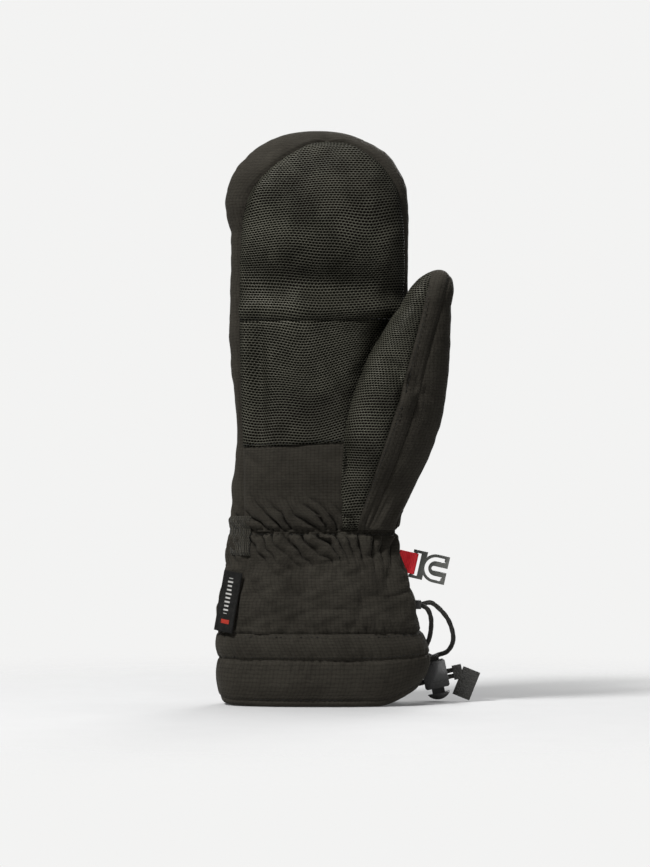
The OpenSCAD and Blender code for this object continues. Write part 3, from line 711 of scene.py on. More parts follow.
def rib_material(name):
    """Knitted stretch rib, with fine wales up the hand."""
    n = Nodes(name)
    u, v, where = n.place()
    wale = n.ridge(u, PI / 1.25)
    loop = n.math("SINE", n.add(n.mul(v, 2 * PI), n.mul(wale, 2.2)))
    tone = n.add(n.mul(wale, 0.7), n.mul(loop, 0.15), n.mul(n.noise(where, 120.0), 0.3))
    shade = n.span(tone, 0.1, 1.1)
    color = n.mix(shade, rgb(0.002, 0.0018, 0.0014), rgb(0.052, 0.048, 0.037))
    return n.finish(
        Base_Color=color, Roughness=0.9, Normal=n.bump(tone, 0.0006, 1.0), Sheen_Weight=0.06,
        Specular_IOR_Level=0.12)


def knit_material(name, base, dark, scale=1.0):
    """Brushed fleece: short tufts and soft sheen."""
    n = Nodes(name)
    where = n.object_place()
    tuft = n.noise(where, 1100.0 * scale, 4.0, 0.7)
    tone = n.add(n.mul(tuft, 0.7), n.mul(n.cells(where, 700.0 * scale), 0.5))
    color = n.mix(n.span(tone, 0.3, 0.9), dark, base)
    normal = n.bump(tone, 0.0006, 0.9, n.bump(n.noise(where, 90.0), 0.002, 0.4))
    return n.finish(Base_Color=color, Roughness=0.95, Normal=normal, Sheen_Weight=0.5, Sheen_Roughness=0.4)


def film_material(name):
    """Thin waterproof film, slightly glossy and crinkled."""
    n = Nodes(name)
    where = n.object_place()
    crinkle = n.math("MINIMUM", n.cells(where, 140.0, "DISTANCE_TO_EDGE"), 0.2)
    soft = n.noise(where, 90.0, 5.0)
    color = n.mix(soft, rgb(0.52, 0.55, 0.57), rgb(0.8, 0.82, 0.83))
    normal = n.bump(crinkle, 0.003, 0.6, n.bump(soft, 0.002, 0.5))
    return n.finish(Base_Color=color, Roughness=0.33, Normal=normal)


def ribbon_material(name, base, dark, pitch, gloss):
    """Woven ribbon or webbing with ribs across it."""
    n = Nodes(name)
    u, v, where = n.place()
    rib = n.ridge(v, PI / pitch)
    warp = n.sine(u, 2 * PI / (pitch * 1.5))
    tone = n.add(n.mul(rib, 0.55), n.mul(warp, 0.12), n.mul(n.noise(where, 260.0, 4.0), 0.45))
    color = n.mix(n.span(tone, 0.15, 1.0), dark, base)
    return n.finish(
        Base_Color=color, Roughness=gloss, Normal=n.bump(tone, 0.00022, 0.9), Sheen_Weight=0.05,
        Specular_IOR_Level=0.25)


def cord_material(name):
    """Braided sheath of elastic cord: two sets of strands crossing at a slant."""
    n = Nodes(name)
    u, v, where = n.place()
    turn = n.mul(u, 2 * PI / 1.1)
    climb = n.mul(v, 2 * PI / 1.5)
    one, other = n.math("SINE", n.add(turn, climb)), n.math("SINE", n.sub(turn, climb))
    strand = n.math("MAXIMUM", one, other)
    tone = n.add(n.mul(strand, 0.4), n.mul(n.noise(where, 300.0, 3.0), 0.6))
    color = n.mix(n.span(tone, 0.1, 0.9), rgb(0.004, 0.0036, 0.003), rgb(0.04, 0.037, 0.031))
    return n.finish(
        Base_Color=color, Roughness=0.62, Normal=n.bump(strand, 0.0003, 0.9), Specular_IOR_Level=0.4)


def moulded_material(name, base, edge, rough, coat=0.0):
    """Moulded plastic: fine spark grain, scuffs, and edges rubbed paler."""
    n = Nodes(name)
    where = n.object_place()
    spark = n.noise(where, 1400.0, 3.0, 0.7)
    scuff = n.noise(where, 210.0, 5.0, 0.65)
    worn = n.span(n.new("ShaderNodeNewGeometry").outputs["Pointiness"], 0.52, 0.62, 0.0, 0.6)
    color = n.mix(n.math("MAXIMUM", worn, n.span(scuff, 0.56, 0.8, 0.0, 0.5)), base, edge)
    normal = n.bump(spark, 0.00008, 0.8, n.bump(scuff, 0.0002, 0.2))
    return n.finish(
        Base_Color=color, Roughness=n.span(scuff, 0.3, 0.75, rough * 0.8, rough * 1.35), Normal=normal,
        Specular_IOR_Level=0.32, Coat_Weight=coat, Coat_Roughness=0.12)


def rubber_material(name):
    """Soft moulded rubber with a pebbled face."""
    n = Nodes(name)
    where = n.object_place()
    pebble = n.cells(where, 850.0)
    scuff = n.noise(where, 260.0, 4.0)
    color = n.mix(scuff, rgb(0.006, 0.0056, 0.0045), rgb(0.02, 0.019, 0.015))
    normal = n.bump(pebble, 0.0005, 0.9, n.bump(scuff, 0.0005, 0.4))
    return n.finish(Base_Color=color, Roughness=n.span(pebble, 0.0, 0.7, 0.4, 0.68), Normal=normal)


def metal_material(name):
    """Drawn spring wire."""
    n = Nodes(name)
    drawn = n.noise(n.object_place(), 2200.0, 3.0)
    color = n.mix(drawn, rgb(0.42, 0.42, 0.43), rgb(0.66, 0.66, 0.66))
    return n.finish(
        Base_Color=color, Metallic=1.0, Roughness=n.span(drawn, 0.2, 0.8, 0.2, 0.4),
        Normal=n.bump(drawn, 0.00003, 0.6))


def label_material(name):
    """Woven label: near-black ground with pale bars and one red bar, and no lettering."""
    n = Nodes(name)
    u, v, where = n.place()
    step = n.math("DIVIDE", v, 2.35)
    long = n.math("FRACT", n.mul(n.sine(n.math("FLOOR", step), 7.3), 3.7))
    half = n.add(1.4, n.mul(long, 1.1))
    in_row = n.span(n.away(n.math("FRACT", step), 0.5), 0.17, 0.23, 1.0, 0.0)
    in_length = n.span(n.sub(n.away(u, -1.0), half), -0.12, 0.12, 1.0, 0.0)
    in_field = n.mul(n.span(v, 10.6, 10.8), n.span(v, 31.6, 31.8, 1.0, 0.0))
    pale = n.mul(n.mul(in_row, in_length), in_field)
    red_wide = n.span(n.away(u, -0.1), 3.1, 3.3, 1.0, 0.0)
    red = n.mul(red_wide, n.span(n.away(v, 6.2), 1.1, 1.3, 1.0, 0.0))
    thread = n.mul(n.sine(u, 2 * PI / 0.45), n.sine(v, 2 * PI / 0.35))
    mottle = n.span(n.noise(where, 400.0, 3.0), 0.3, 0.75)
    color = n.mix(mottle, rgb(0.004, 0.004, 0.0036), rgb(0.012, 0.0115, 0.0105))
    color = n.mix(n.mul(pale, 0.85), color, rgb(0.55, 0.54, 0.52))
    color = n.mix(n.mul(red, 0.9), color, rgb(0.42, 0.035, 0.02))
    normal = n.bump(n.add(thread, n.math("MAXIMUM", pale, red)), 0.00012, 0.8)
    return n.finish(Base_Color=color, Roughness=0.7, Normal=normal, Specular_IOR_Level=0.15)


SHELL = shell_material("shell_cloth")
SHELL_WARM = shell_material("shell_cloth_back", 1.05)
GRIP = grip_material("grip_cloth")
RIB = rib_material("rib_knit")
THREAD = ribbon_material("thread", rgb(0.0085, 0.008, 0.006), rgb(0.0015, 0.0015, 0.001), 0.35, 0.6)
ELASTIC = ribbon_material("elastic_tape", rgb(0.16, 0.16, 0.16), rgb(0.03, 0.03, 0.03), 1.4, 0.7)
WEBBING = ribbon_material("webbing_tape", rgb(0.034, 0.032, 0.027), rgb(0.006, 0.006, 0.005), 0.9, 0.55)
RIBBON = ribbon_material("red_ribbon", rgb(0.92, 0.028, 0.040), rgb(0.48, 0.009, 0.015), 0.7, 0.5)
FLEECE = knit_material("fleece", rgb(0.075, 0.075, 0.076), rgb(0.014, 0.014, 0.014))
BATTING = knit_material("batting", rgb(0.86, 0.86, 0.83), rgb(0.5, 0.5, 0.48), 0.5)
TAFFETA = shell_material("taffeta", 0.8, 0.4)
FILM = film_material("membrane_film")
CORD = cord_material("braided_cord")
CLIP = moulded_material("clip_plastic", rgb(0.052, 0.054, 0.048), rgb(0.13, 0.13, 0.12), 0.42)
LOCK = moulded_material("lock_plastic", rgb(0.003, 0.0028, 0.0024), rgb(0.010, 0.0095, 0.008), 0.3, coat=0.1)
KEEPER = moulded_material("keeper_plastic", rgb(0.011, 0.0105, 0.009), rgb(0.035, 0.034, 0.03), 0.5)
RUBBER = rubber_material("pull_rubber")
STEEL = metal_material("spring_steel")
LABEL = label_material("label_weave")


# ---- The pieces' transforms, baked into their meshes ----
def blend_up(obj):
    """Bakes the piece's transform into its mesh."""
    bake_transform(obj)


def bend_fingers(obj):
    blend_up(obj)


def bend_wrist(obj):
    blend_up(obj)


THUMB_JOINT = joint("thumb_fold")


def bend_thumb(obj):
    """Bakes the thumb piece's transform into its mesh; the joint's axis and an outward direction beside it
    are worked out but not used.
    """
    axis = Vector(THUMB_JOINT["axis"]).normalized()
    outward = axis.cross(Vector((0, 1, 0))).normalized()
    if outward.x < 0:
        outward = -outward
    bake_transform(obj)


# ---- Hand panels ----
def toward_top(low, high, count):
    """Heights that crowd towards the top, where the outline turns over."""
    t = np.linspace(0, 1, count)
    return low + (high - low) * (1 - (1 - t) ** 1.9)


def edge_distance(points):
    """Distance across the grid from the nearer side edge."""
    d = run_along(points, 1)
    return np.minimum(d, d[:, -1:] - d)


def heel_slope(x, z):
    """The heel's seam climbs a little towards the thumb."""
    return 2.6 * ramp(x, -47, 14) * bell(z - HEEL_Z, 12)


def palm_panel(low, high, columns, count, relief, top_seam, bottom_seam, deepest, arch=False):
    """A palm panel between two heights, its top shaped by the fingertips' outline where arch is set."""
    zs = toward_top(low, high, count) if arch else np.linspace(low, high, count)
    z, phi = grid_between(zs, *palm_edges(zs), columns)
    flat = body(z, phi)
    x = flat[..., 0]
    side = edge_distance(flat)
    if arch:
        side = np.minimum(side, 0.9 * (high - z) + 0.02 * np.abs(x))
    edge = seam(side, 1.05, 1.6, 0.85, 6.5)
    edge = np.minimum(edge, seam(z - low, bottom_seam, 1.1, 0.4 * (bottom_seam > 0), 5.0))
    if not arch:
        edge = np.minimum(edge, seam(high - z, top_seam, 1.1, 0.4, 5.0))
    h = np.maximum(relief(x, z, phi) * ramp(side, 0, 6) + edge, deepest)
    outer, inner = body(z, phi, -h), body(z, phi, underside(h, 1.1, 0.6))
    for p in (outer, inner):
        p[..., 2] += heel_slope(p[..., 0], p[..., 2])
    return Mesh().sheet(outer, inner)


def across_palm(mesh, height, x_from, x_to, lift, length, gap, radius, dip):
    """A row of stitches across the palm, between two shares of the hand's width."""
    x = np.linspace(x_from * HAND_W, x_to * HAND_W, 160)
    z = np.full_like(x, height)
    p, out = body_path(z, palm_angle(z, x), lift)
    p[:, 2] += heel_slope(p[:, 0], p[:, 2])
    stitches(mesh, p, out, length, gap, radius, dip)


def relief_grip(x, z, _phi):
    return palm_relief(x, z)


def relief_heel(x, z, phi):
    fold = -0.9 * crease(-46, 147, -34, 138, x, z, 2.2) + 0.5 * cloth_noise(x, z, 51, 0.8, 0.7)
    return fold + gathers(z, phi) + 0.7 * bell(z - 136, 10)


def make_palm():
    mesh = palm_panel(KNUCKLE_Z, PALM_TOP, 150, 170, relief_grip, 0.5, 0.8, -5.0, True)
    across_palm(mesh, KNUCKLE_Z + 1.3, -0.46, 0.42, 0.55, 2.0, 1.6, 0.42, 0.1)
    upper = mesh.piece("palm_grip_upper_cloth", [GRIP, THREAD], "palm_grip_upper", "grip")
    bend_fingers(upper)

    mesh = palm_panel(HEEL_Z, KNUCKLE_Z, 150, 120, relief_grip, 0.8, 0.8, -5.0)
    across_palm(mesh, HEEL_Z + 1.4, -0.44, 0.14, 0.6, 2.0, 1.4, 0.32, 0.2)
    lower = mesh.piece("palm_grip_lower_cloth", [GRIP, THREAD], "palm_grip_lower", "grip")
    bend_fingers(lower)

    mesh = palm_panel(SEAM_Z, HEEL_Z, 220, 90, relief_heel, 0.8, 0.0, -3.1)
    heel = mesh.piece("palm_heel_cloth", [SHELL, THREAD], "palm_heel_panel", "shell")
    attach(heel, "hand")


def make_back():
    """One panel that wraps from the palm's seam over both sides, the back and the fingertips."""
    dome = DOME_Z + DOME_H * np.sin(np.linspace(0, PI / 2, 60))
    at_arch = np.linspace(PALM_TOP - 4, PALM_TOP + 0.6, 16)
    zs = np.sort(np.concatenate([np.linspace(SEAM_Z, DOME_Z, 190)[:-1], dome, at_arch]))
    left, right = palm_edges(zs)
    z, phi = grid_between(np.minimum(zs, TOP_Z - NEAR), right, left + 2 * PI, 300)
    flat = body(z, phi)
    x = flat[..., 0]
    side = edge_distance(flat)
    side = np.where(z > PALM_TOP, np.maximum(side * 0 + z - PALM_TOP, 0.0) + 0.4 * side, side)
    on_back = ramp(np.sin(phi), -0.1, 0.5)
    h = seam(side, 1.05, 1.5, 0.85, 5.0)
    h = h + gathers(z, phi) * ramp(side, 0, 5)
    h = h + 0.65 * cloth_noise(x, z, 61) * ramp(side, 2, 14)
    h = h + on_back * (-0.8 * bell(z - KNUCKLE_Z, 1.2) + 0.4 * bell(z - KNUCKLE_Z - 12, 10))
    h = h - 0.9 * bell(z - 276, 2.6) * bell(np.abs(phi - PI), 0.5)
    h = np.maximum(h * (1 - ramp(z, TOP_Z - 6, TOP_Z)), -3.1)
    outer, inner = body(z, phi, -h), body(z, phi, underside(h, 1.1, 0.6))
    mesh = Mesh().sheet(outer, inner)
    for offset in (-1.6, 1.6):
        stitch_round(mesh, KNUCKLE_Z + offset, (0.12 * PI, 0.88 * PI), 200, 0.15, 2.2, 1.2, 0.26)
    obj = mesh.piece("back_cloth", [SHELL_WARM, THREAD], "back_panel", "shell")
    bend_fingers(obj)


# ---- Thumb ----
THUMB_SINK = 1.9
# How far round the thumb's inner side the grip strip and the back panel meet.
THUMB_INNER_SEAM = 0.55


def thumb_folds(x, z):
    """The thumb's creases: one slanting across the grip strip, and soft waves elsewhere."""
    h = -2.8 * crease(36, 200, 58, 183, x, z, 3.8) + 1.6 * crease(34, 187, 54, 173, x, z, 5.0)
    h = h - 1.0 * crease(50, 188, 66, 178, x, z, 2.6)
    h = h + 0.32 * ripple(x, z, 26, 71) + 0.12 * ripple(x, z, 9, 72)
    return h + 1.3 * bell(z - 112, 9) * np.sin(2 * PI * (x - 0.5 * z) / 6.5) * 0.45


def thumb_rows(low=SEAM_Z + 1.0):
    dome = (THUMB_DOME_H - NEAR) * np.sin(np.linspace(0, PI / 2, 34))
    return np.concatenate([np.linspace(low, THUMB_DOME_Z, 130)[:-1], THUMB_DOME_Z + dome])


def thumb_sheet(first, last, columns, puff=0.9):
    """A thumb panel between two angles given as functions of height."""
    zs = thumb_rows()
    z, phi = grid_between(zs, first(zs), last(zs), columns)
    flat = thumb(z, phi)
    side = edge_distance(flat)
    x = flat[..., 0]
    folds = thumb_folds(x, z) * ramp(side, 0, 4) * ramp(z, SEAM_Z, SEAM_Z + 6)
    h = seam(side, 0.7, 1.2, puff, 4.5) + folds
    h = h * (1 - ramp(z, THUMB_TOP - 5, THUMB_TOP))
    h = np.maximum(h, -2.6)
    outer = tuck(thumb(z, phi, -h), THUMB_SINK, 1.5)
    inner = tuck(thumb(z, phi, underside(h, 1.0, 0.5)), THUMB_SINK + 0.6, 0.7)
    return Mesh().sheet(outer, inner)


def seam_stitches(mesh, angle, offset, low, high):
    """Top stitching beside a thumb seam."""
    zs = np.linspace(low, high, 200)
    phi = angle(zs) + offset / 22.0
    p = thumb(zs, phi, -0.25)
    stitches(mesh, p, p - thumb(zs, phi, 5.0), 2.0, 1.3, 0.22)


def make_thumb():
    def grip_first(z):
        return np.full_like(z, -PI - THUMB_INNER_SEAM)

    def grip_last(z):
        return thumb_angle(z, grip_seam(z))

    def side_last(z):
        return thumb_angle(z, side_seam(z))

    def back_last(z):
        return np.full_like(z, PI - THUMB_INNER_SEAM)

    grip = thumb_sheet(grip_first, grip_last, 110, 0.7)
    bend_thumb(grip.piece("thumb_grip_cloth", [GRIP, THREAD], "thumb_grip_panel", "grip"))
    side = thumb_sheet(grip_last, side_last, 44, 0.7)
    seam_stitches(side, grip_last, 1.6, SEAM_Z + 14, THUMB_TOP - 8)
    bend_thumb(side.piece("thumb_side_cloth", [SHELL, THREAD], "thumb_side_panel", "shell"))
    back = thumb_sheet(side_last, back_last, 130)
    bend_thumb(back.piece("thumb_back_cloth", [SHELL, THREAD], "thumb_back_panel", "shell"))


# ---- Wrist and cuff ----
def ring_grid(zs, columns):
    """Heights and angles of a grid whose rows go right round."""
    phi = -PI + 2 * PI * np.arange(columns) / columns
    return np.repeat(zs[:, None], columns, 1), np.repeat(phi[None], len(zs), 0)


def pucker(s, d, seed, size):
    """Small tucks that a tight seam draws into the cloth beside it."""
    pitch, reach = 4.6, 5.0
    fold = np.abs(np.sin(PI * (s + 1.4 * ripple(s, d, 18, seed)) / pitch)) ** 0.8 - 0.6
    return size * 1.15 * fold * (0.6 + 0.4 * ripple(s, d * 0, 30, seed + 1)) * np.exp(-((d / reach) ** 2))


def cuff_relief(z, phi, x):
    h = 1.1 * cloth_noise(arc_at(phi), z, 81, 1.0, 1.0) + 0.5 * crumple(arc_at(phi), 1.3 * z, 40, 87)
    h = h + 0.85 * gathers(z, phi)
    h = h + pucker(arc_at(phi), z - CUFF_Z, 84, 1.0)
    h = 1.25 * h + 1.4 * bell(z - 66, 15) - 1.5 * crease(-34, 84, -12, 60, x, z, 3)
    h = h - 1.5 * crease(8, 84, 32, 58, x, z, 3.5) - 1.0 * crease(-44, 70, -20, 50, x, z, 3)
    return h


def cuff_sheet(first, last, columns):
    zs = np.linspace(CUFF_Z, SEAM_Z, 100)
    z, phi = grid_between(zs, first(zs), last(zs), columns)
    flat = body(z, phi)
    side = edge_distance(flat)
    h = cuff_relief(z, phi, flat[..., 0]) * (0.35 + 0.65 * ramp(side, 0, 5))
    h = h + np.minimum(seam(side, 0.7, 1.4, 0.5, 5.0), seam(z - CUFF_Z, 0.9, 1.3, 0.6, 5.0))
    h = np.maximum(h, -2.7)
    outer, inner = body(z, phi, -h), body(z, phi, underside(h, 0.9, 0.7))
    return Mesh().sheet(outer, inner)


def make_cuff():
    def front_left(z):
        return palm_angle(z, cuff_seam(z))

    def front_right(z):
        return np.full_like(z, 0.0)

    def back_right(z):
        return palm_angle(z, cuff_seam(z)) + 2 * PI

    front = cuff_sheet(front_left, front_right, 230)
    stitch_round(front, SEAM_Z - 1.5, (-0.78 * PI, -0.03 * PI), 220, -0.75, 1.9, 1.1, 0.24)
    bend_wrist(front.piece("cuff_front_cloth", [SHELL, THREAD], "cuff_front_panel", "shell"))
    back = cuff_sheet(front_right, back_right, 230)
    bend_wrist(back.piece("cuff_back_cloth", [SHELL_WARM, THREAD], "cuff_back_panel", "shell"))


def band_relief(z, phi, low, high, seed):
    s = arc_at(phi)
    h = 0.45 * cloth_noise(s, z, seed, 0.9, 0.9)
    h = h + pucker(s, z - low, seed + 4, 0.9) + pucker(s, high - z, seed + 5, 0.9)
    return h + seam(z - low, 0.8, 1.1, 0.45, 4.0) + seam(high - z, 0.8, 1.1, 0.45, 4.0)


def make_bands():
    columns = 420
    zs = np.linspace(TUNNEL_Z + 1.0, CUFF_Z, 34)
    z, phi = ring_grid(zs, columns)
    h = band_relief(z, phi, TUNNEL_Z + 1.0, CUFF_Z, 91) + 0.6 * bell(z - (TUNNEL_Z + CUFF_Z) / 2, 6)
    tunnel = Mesh().sheet(body(z, phi, -h), body(z, phi, 0.9 - 0.8 * h), True)
    around = (-0.995 * PI, 0.995 * PI)
    for height in (CUFF_Z - 1.5, TUNNEL_Z + 2.4):
        stitch_round(tunnel, height, around, 700, -0.35, 1.9, 1.1, 0.24)
    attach(tunnel.piece("tunnel_cloth", [SHELL, THREAD], "tunnel_band", "shell"), "cuff")

    top = TUNNEL_Z + 1.0
    hem_t = 3.0
    curve = np.linspace(0, PI, 9)[1:-1]
    down = np.linspace(top, 1.6, 50)
    up = np.linspace(1.6, top - 1, 20)
    zs = np.concatenate([down, 1.6 - 1.6 * np.sin(curve), up, [top]])
    sinks = np.concatenate([down * 0, hem_t / 2 * (1 - np.cos(curve)), up * 0 + hem_t, [0]])
    z, phi = ring_grid(zs, columns)
    sink = np.repeat(sinks[:, None], columns, 1)
    fade = 1 - ramp(sink, 0.0, 1.2)
    h = (band_relief(z, phi, -20, top, 101) + 0.8 * bell(z - 13, 9) - 0.5 * bell(z - 3.6, 0.8)) * fade
    outer = body(z, phi, sink - h)
    hem = Mesh().add(outer, grid_faces(len(zs), columns, 0, True, True), arc_uv(outer, columns // 2))
    stitch_round(hem, 4.0, around, 700, -0.25, 2.1, 1.2, 0.24)
    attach(hem.piece("hem_cloth", [SHELL, THREAD], "hem_band", "shell"), "cuff")


def make_side_patch():
    """Ribbed stretch patch over the side of the wrist."""
    low, high = span("wrist_side_patch", 2)
    zs = np.linspace(low, high, 50)
    edge = palm_angle(zs, np.full_like(zs, -0.328 * CUFF_W)) + 2 * PI
    z, phi = grid_between(zs, edge, np.full_like(zs, 0.83 * PI), 60)
    flat = body(z, phi)
    side = edge_distance(flat)
    wales = 0.28 * np.cos(2 * PI * side / 2.4)
    h = 2.0 + 0.25 * gathers(z, phi) + wales - 1.3 * bell(side, 2.0)
    h = h - 1.2 * bell(z - low, 1.4) - 1.2 * bell(high - z, 1.4)
    mesh = Mesh().sheet(body(z, phi, -h), body(z, phi, 0.9 - h))
    bend_wrist(mesh.piece("side_patch_knit", [RIB], "wrist_side_patch", "rib"))


def make_label():
    """A woven label, sewn flat into the cuff's side seam."""
    low, high = CUFF_Z + 0.8, CUFF_Z + 36.5
    rows, columns = 60, 24
    z = np.repeat(np.linspace(low, high, rows)[:, None], columns, 1)
    tilt = 0.17
    t = np.linspace(0, 1, columns)[None]
    x = -0.5 * CUFF_W + tilt * (z - low) + 10.6 * t
    z = z - 0.16 * (x + 0.45 * CUFF_W)
    mid, a, b, _, _ = body_axes(z)
    u = np.clip((x - mid) / (a + 1.5), -0.985, 0.985)
    y = -(b + 1.5) * (1 - np.abs(u) ** SQUARE) ** (1 / SQUARE) - 1.1
    y = y - 0.25 * np.sin(z / 4.0) * t
    outer = np.stack([x, y, z], -1)
    normal = unit(np.stack([u * 0.8, -np.ones_like(u), 0 * u], -1))
    mesh = Mesh().sheet(outer, outer - 0.7 * normal)
    stitches(mesh, outer[:, columns - 3], normal[:, columns - 3], 1.8, 1.2, 0.2)
    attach(mesh.piece("side_label_weave", [LABEL, THREAD], "side_label", "label"), "cuff")


# ---- Inner layers ----
PORT_LOW, PORT_HIGH, PORT_MARGIN = 138, 202, 6


def in_port(points):
    """True inside the opening between the hand and the thumb's pocket."""
    x, y, z = points[..., 0], points[..., 1], points[..., 2]
    cx = (thumb_left(z) + thumb_right(z)) / 2
    across = (x - cx) / ((thumb_right(z) - thumb_left(z)) / 2 - PORT_MARGIN)
    deep = (y - thumb_mid(z)) / (thumb_half(z) - PORT_MARGIN)
    return (across ** 2 + deep ** 2 < 1) & (z > PORT_LOW) & (z < PORT_HIGH)


def inner_layer(name, node, slot, material, zs, sink, thick, rough, seed, move, port=False):
    """A tube of an inner layer over rows of heights, following the body at a depth."""
    z, phi = ring_grid(zs, 200)
    flat = body(z, phi, sink)
    h = rough * cloth_noise(arc_at(phi), z, seed, 0.6, 1.2) + give(flat[..., 0], z, phi)
    outer, inner = body(z, phi, sink - h), body(z, phi, sink + thick - h)
    mesh = Mesh().sheet(outer, inner, True, drop=in_port(flat) if port else None)
    move(mesh.piece(name, [material], node, slot))


def to_tip(low):
    """Rows of heights up to the fingertips."""
    dome = DOME_Z + (DOME_H - 0.02) * np.sin(np.linspace(0, PI / 2, 30))
    return np.concatenate([np.linspace(low, DOME_Z, 90)[:-1], dome])


def with_hand(obj):
    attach(obj, "hand")


def thumb_layer(name, node, slot, material, sink, thick, low, seed):
    zs = thumb_rows(low)
    z, phi = ring_grid(zs, 120)
    h = 0.2 * ripple(40 * phi, z, 15, seed)
    h = h * (1 - ramp(z, THUMB_TOP - 5, THUMB_TOP))
    outer = tuck(thumb(z, phi, sink - h), THUMB_SINK + sink)
    inner = tuck(thumb(z, phi, sink + thick - h), THUMB_SINK + sink + 0.5)
    bend_thumb(Mesh().sheet(outer, inner, True).piece(name, [material], node, slot))


def make_inside():
    low = WRIST_Z + 0.2
    inner_layer("membrane", "waterproof_insert", "membrane", FILM, to_tip(low),
                4.1, 0.3, 0.15, 111, bend_fingers, True)
    inner_layer("hand_batting", "hand_insulation", "batting", BATTING,
                np.linspace(WRIST_Z + 18, KNUCKLE_Z - 18, 60), 4.8, 3.0, 0.15, 121, with_hand, True)
    inner_layer("finger_batting", "finger_insulation", "batting", BATTING, to_tip(KNUCKLE_Z + 18),
                4.8, 3.0, 0.15, 131, bend_fingers)
    inner_layer("hand_fleece", "hand_lining", "lining", FLEECE, to_tip(low),
                8.3, 1.1, 0.3, 141, bend_fingers, True)
    inner_layer("wrist_elastic_tape", "wrist_elastic", "elastic", ELASTIC,
                np.linspace(WRIST_Z - 6, WRIST_Z + 6, 16), 3.6, 0.8, 0.1, 151, bend_wrist)
    inner_layer("cuff_batting", "cuff_padding", "batting", BATTING,
                np.linspace(CUFF_Z + 3, WRIST_Z - 12, 50), 3.4, 1.2, 0.1, 161, bend_wrist)
    inner_layer("cuff_taffeta", "cuff_lining", "cuff_lining", TAFFETA,
                np.linspace(1.4, WRIST_Z - 0.2, 90), 5.0, 0.7, 0.2, 171, bend_wrist)
    thumb_layer("thumb_batting", "thumb_insulation", "batting", BATTING, 3.4, 1.4, 168, 181)
    thumb_layer("thumb_fleece", "thumb_lining", "lining", FLEECE, 5.2, 0.8, 134, 191)


# ---- Ribbon, cords and webbing ----
CLIP_JOINT = joint("clip_swing")
PULL_JOINT = joint("cord_pull")
PRESS_JOINT = joint("button_press")
CORD_R = 1.4


def make_clip_loop():
    """Red ribbon folded round the clip's bar, its ends sewn into the cuff."""
    bar = np.array(CLIP_JOINT["pos_m"]) / MM
    up = np.array(CLIP_JOINT["axis"])
    out = np.array([up[2], 0, -up[0]])
    wide = 12.3
    r = 1.4
    turn = np.linspace(PI / 2, -PI / 2, 17)
    reach = np.linspace(-9.5, 0, 14)[:-1]
    close = 0.45 + 0.55 * ramp(reach, -6, -0.5)
    profile = [(x, r * c) for x, c in zip(reach, close)]
    profile += [(r * math.cos(a), r * math.sin(a)) for a in turn]
    profile += [(x, -r * c) for x, c in zip(reach[::-1], close[::-1])]
    profile = np.array(profile)
    rows = np.linspace(-wide / 2, wide / 2, 26)
    t = np.gradient(profile, axis=0)
    n = unit(np.stack([-t[:, 1], t[:, 0]], -1))

    def place(offset):
        q = profile + n * offset
        sag = 0.12 * np.sin(rows / 2.3)[:, None]
        y = q[None, :, 1] + sag * ramp(-q[:, 0], 1, 6)[None]
        level = bar + q[None, :, 0, None] * out + y[..., None] * np.array([0, 1, 0])
        return level + rows[:, None, None] * up

    mesh = Mesh().sheet(place(0.3), place(-0.25))
    obj = mesh.piece("clip_loop_ribbon", [RIBBON], "clip_loop", "ribbon")
    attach(obj, "cuff")


def curve_through(points, step):
    """A smooth path through control points."""
    p = np.array(points, float)
    p = np.concatenate([[2 * p[0] - p[1]], p, [2 * p[-1] - p[-2]]])
    out = []
    for a, b, c, d in zip(p[:-3], p[1:-2], p[2:-1], p[3:]):
        t = np.linspace(0, 1, 12, endpoint=False)[:, None]
        square = 2 * a - 5 * b + 4 * c - d
        cube = 3 * b - a - 3 * c + d
        out.append(0.5 * (2 * b + (c - a) * t + square * t ** 2 + cube * t ** 3))
    out.append(p[-2][None])
    return resample(np.concatenate(out), step)[0]


def braid_tube(mesh, path, radius, sides=18, relief=0.09):
    """A cord whose sheath bulges in eight crossing strands, or a plain wire where relief is 0."""
    tangent = unit(np.gradient(path, axis=0))
    u = np.zeros_like(path)
    u[0] = unit(np.cross(tangent[0], [0.2, 0.5, 0.8]))
    for k in range(1, len(path)):
        u[k] = unit(u[k - 1] - tangent[k] * (u[k - 1] @ tangent[k]))
    v = np.cross(tangent, u)
    d = run_along(path)
    a = np.linspace(0, 2 * PI, sides, endpoint=False)
    twist = 2 * PI * d[:, None] / 5.5
    weave = np.maximum(np.cos(4 * a + twist), np.cos(4 * a - twist))
    r = radius * (1 - 0.78 * relief + relief * weave)
    ring = path[:, None] + u[:, None] * (r * np.cos(a))[..., None] + v[:, None] * (r * np.sin(a))[..., None]
    uv = np.stack(np.broadcast_arrays(a[None] * radius, d[:, None]), -1) * MM
    return mesh.add(ring, tube_faces(len(path), sides), uv)


LOCK_X = np.array(PULL_JOINT["axis"])
LOCK_Z = np.array(PRESS_JOINT["axis"])


def lock_point(across, up):
    """A point in the cord lock's own directions, from its middle between the two bores."""
    return LOCK_MID + across * LOCK_X + up * LOCK_Z


# The CAD tails' length, and how much of it lies behind the lock's middle.
TAIL_LEN = 19.1
TAIL_BEHIND = 6.95
LOCK_MID = sum(corners("cord_tail")) / 2 - LOCK_X * (TAIL_LEN / 2 - TAIL_BEHIND)
# Half the distance between the two bores, and how far the ear's slot is below the lock's top.
CORD_RISE = 1.75
EAR_DROP = 3.0


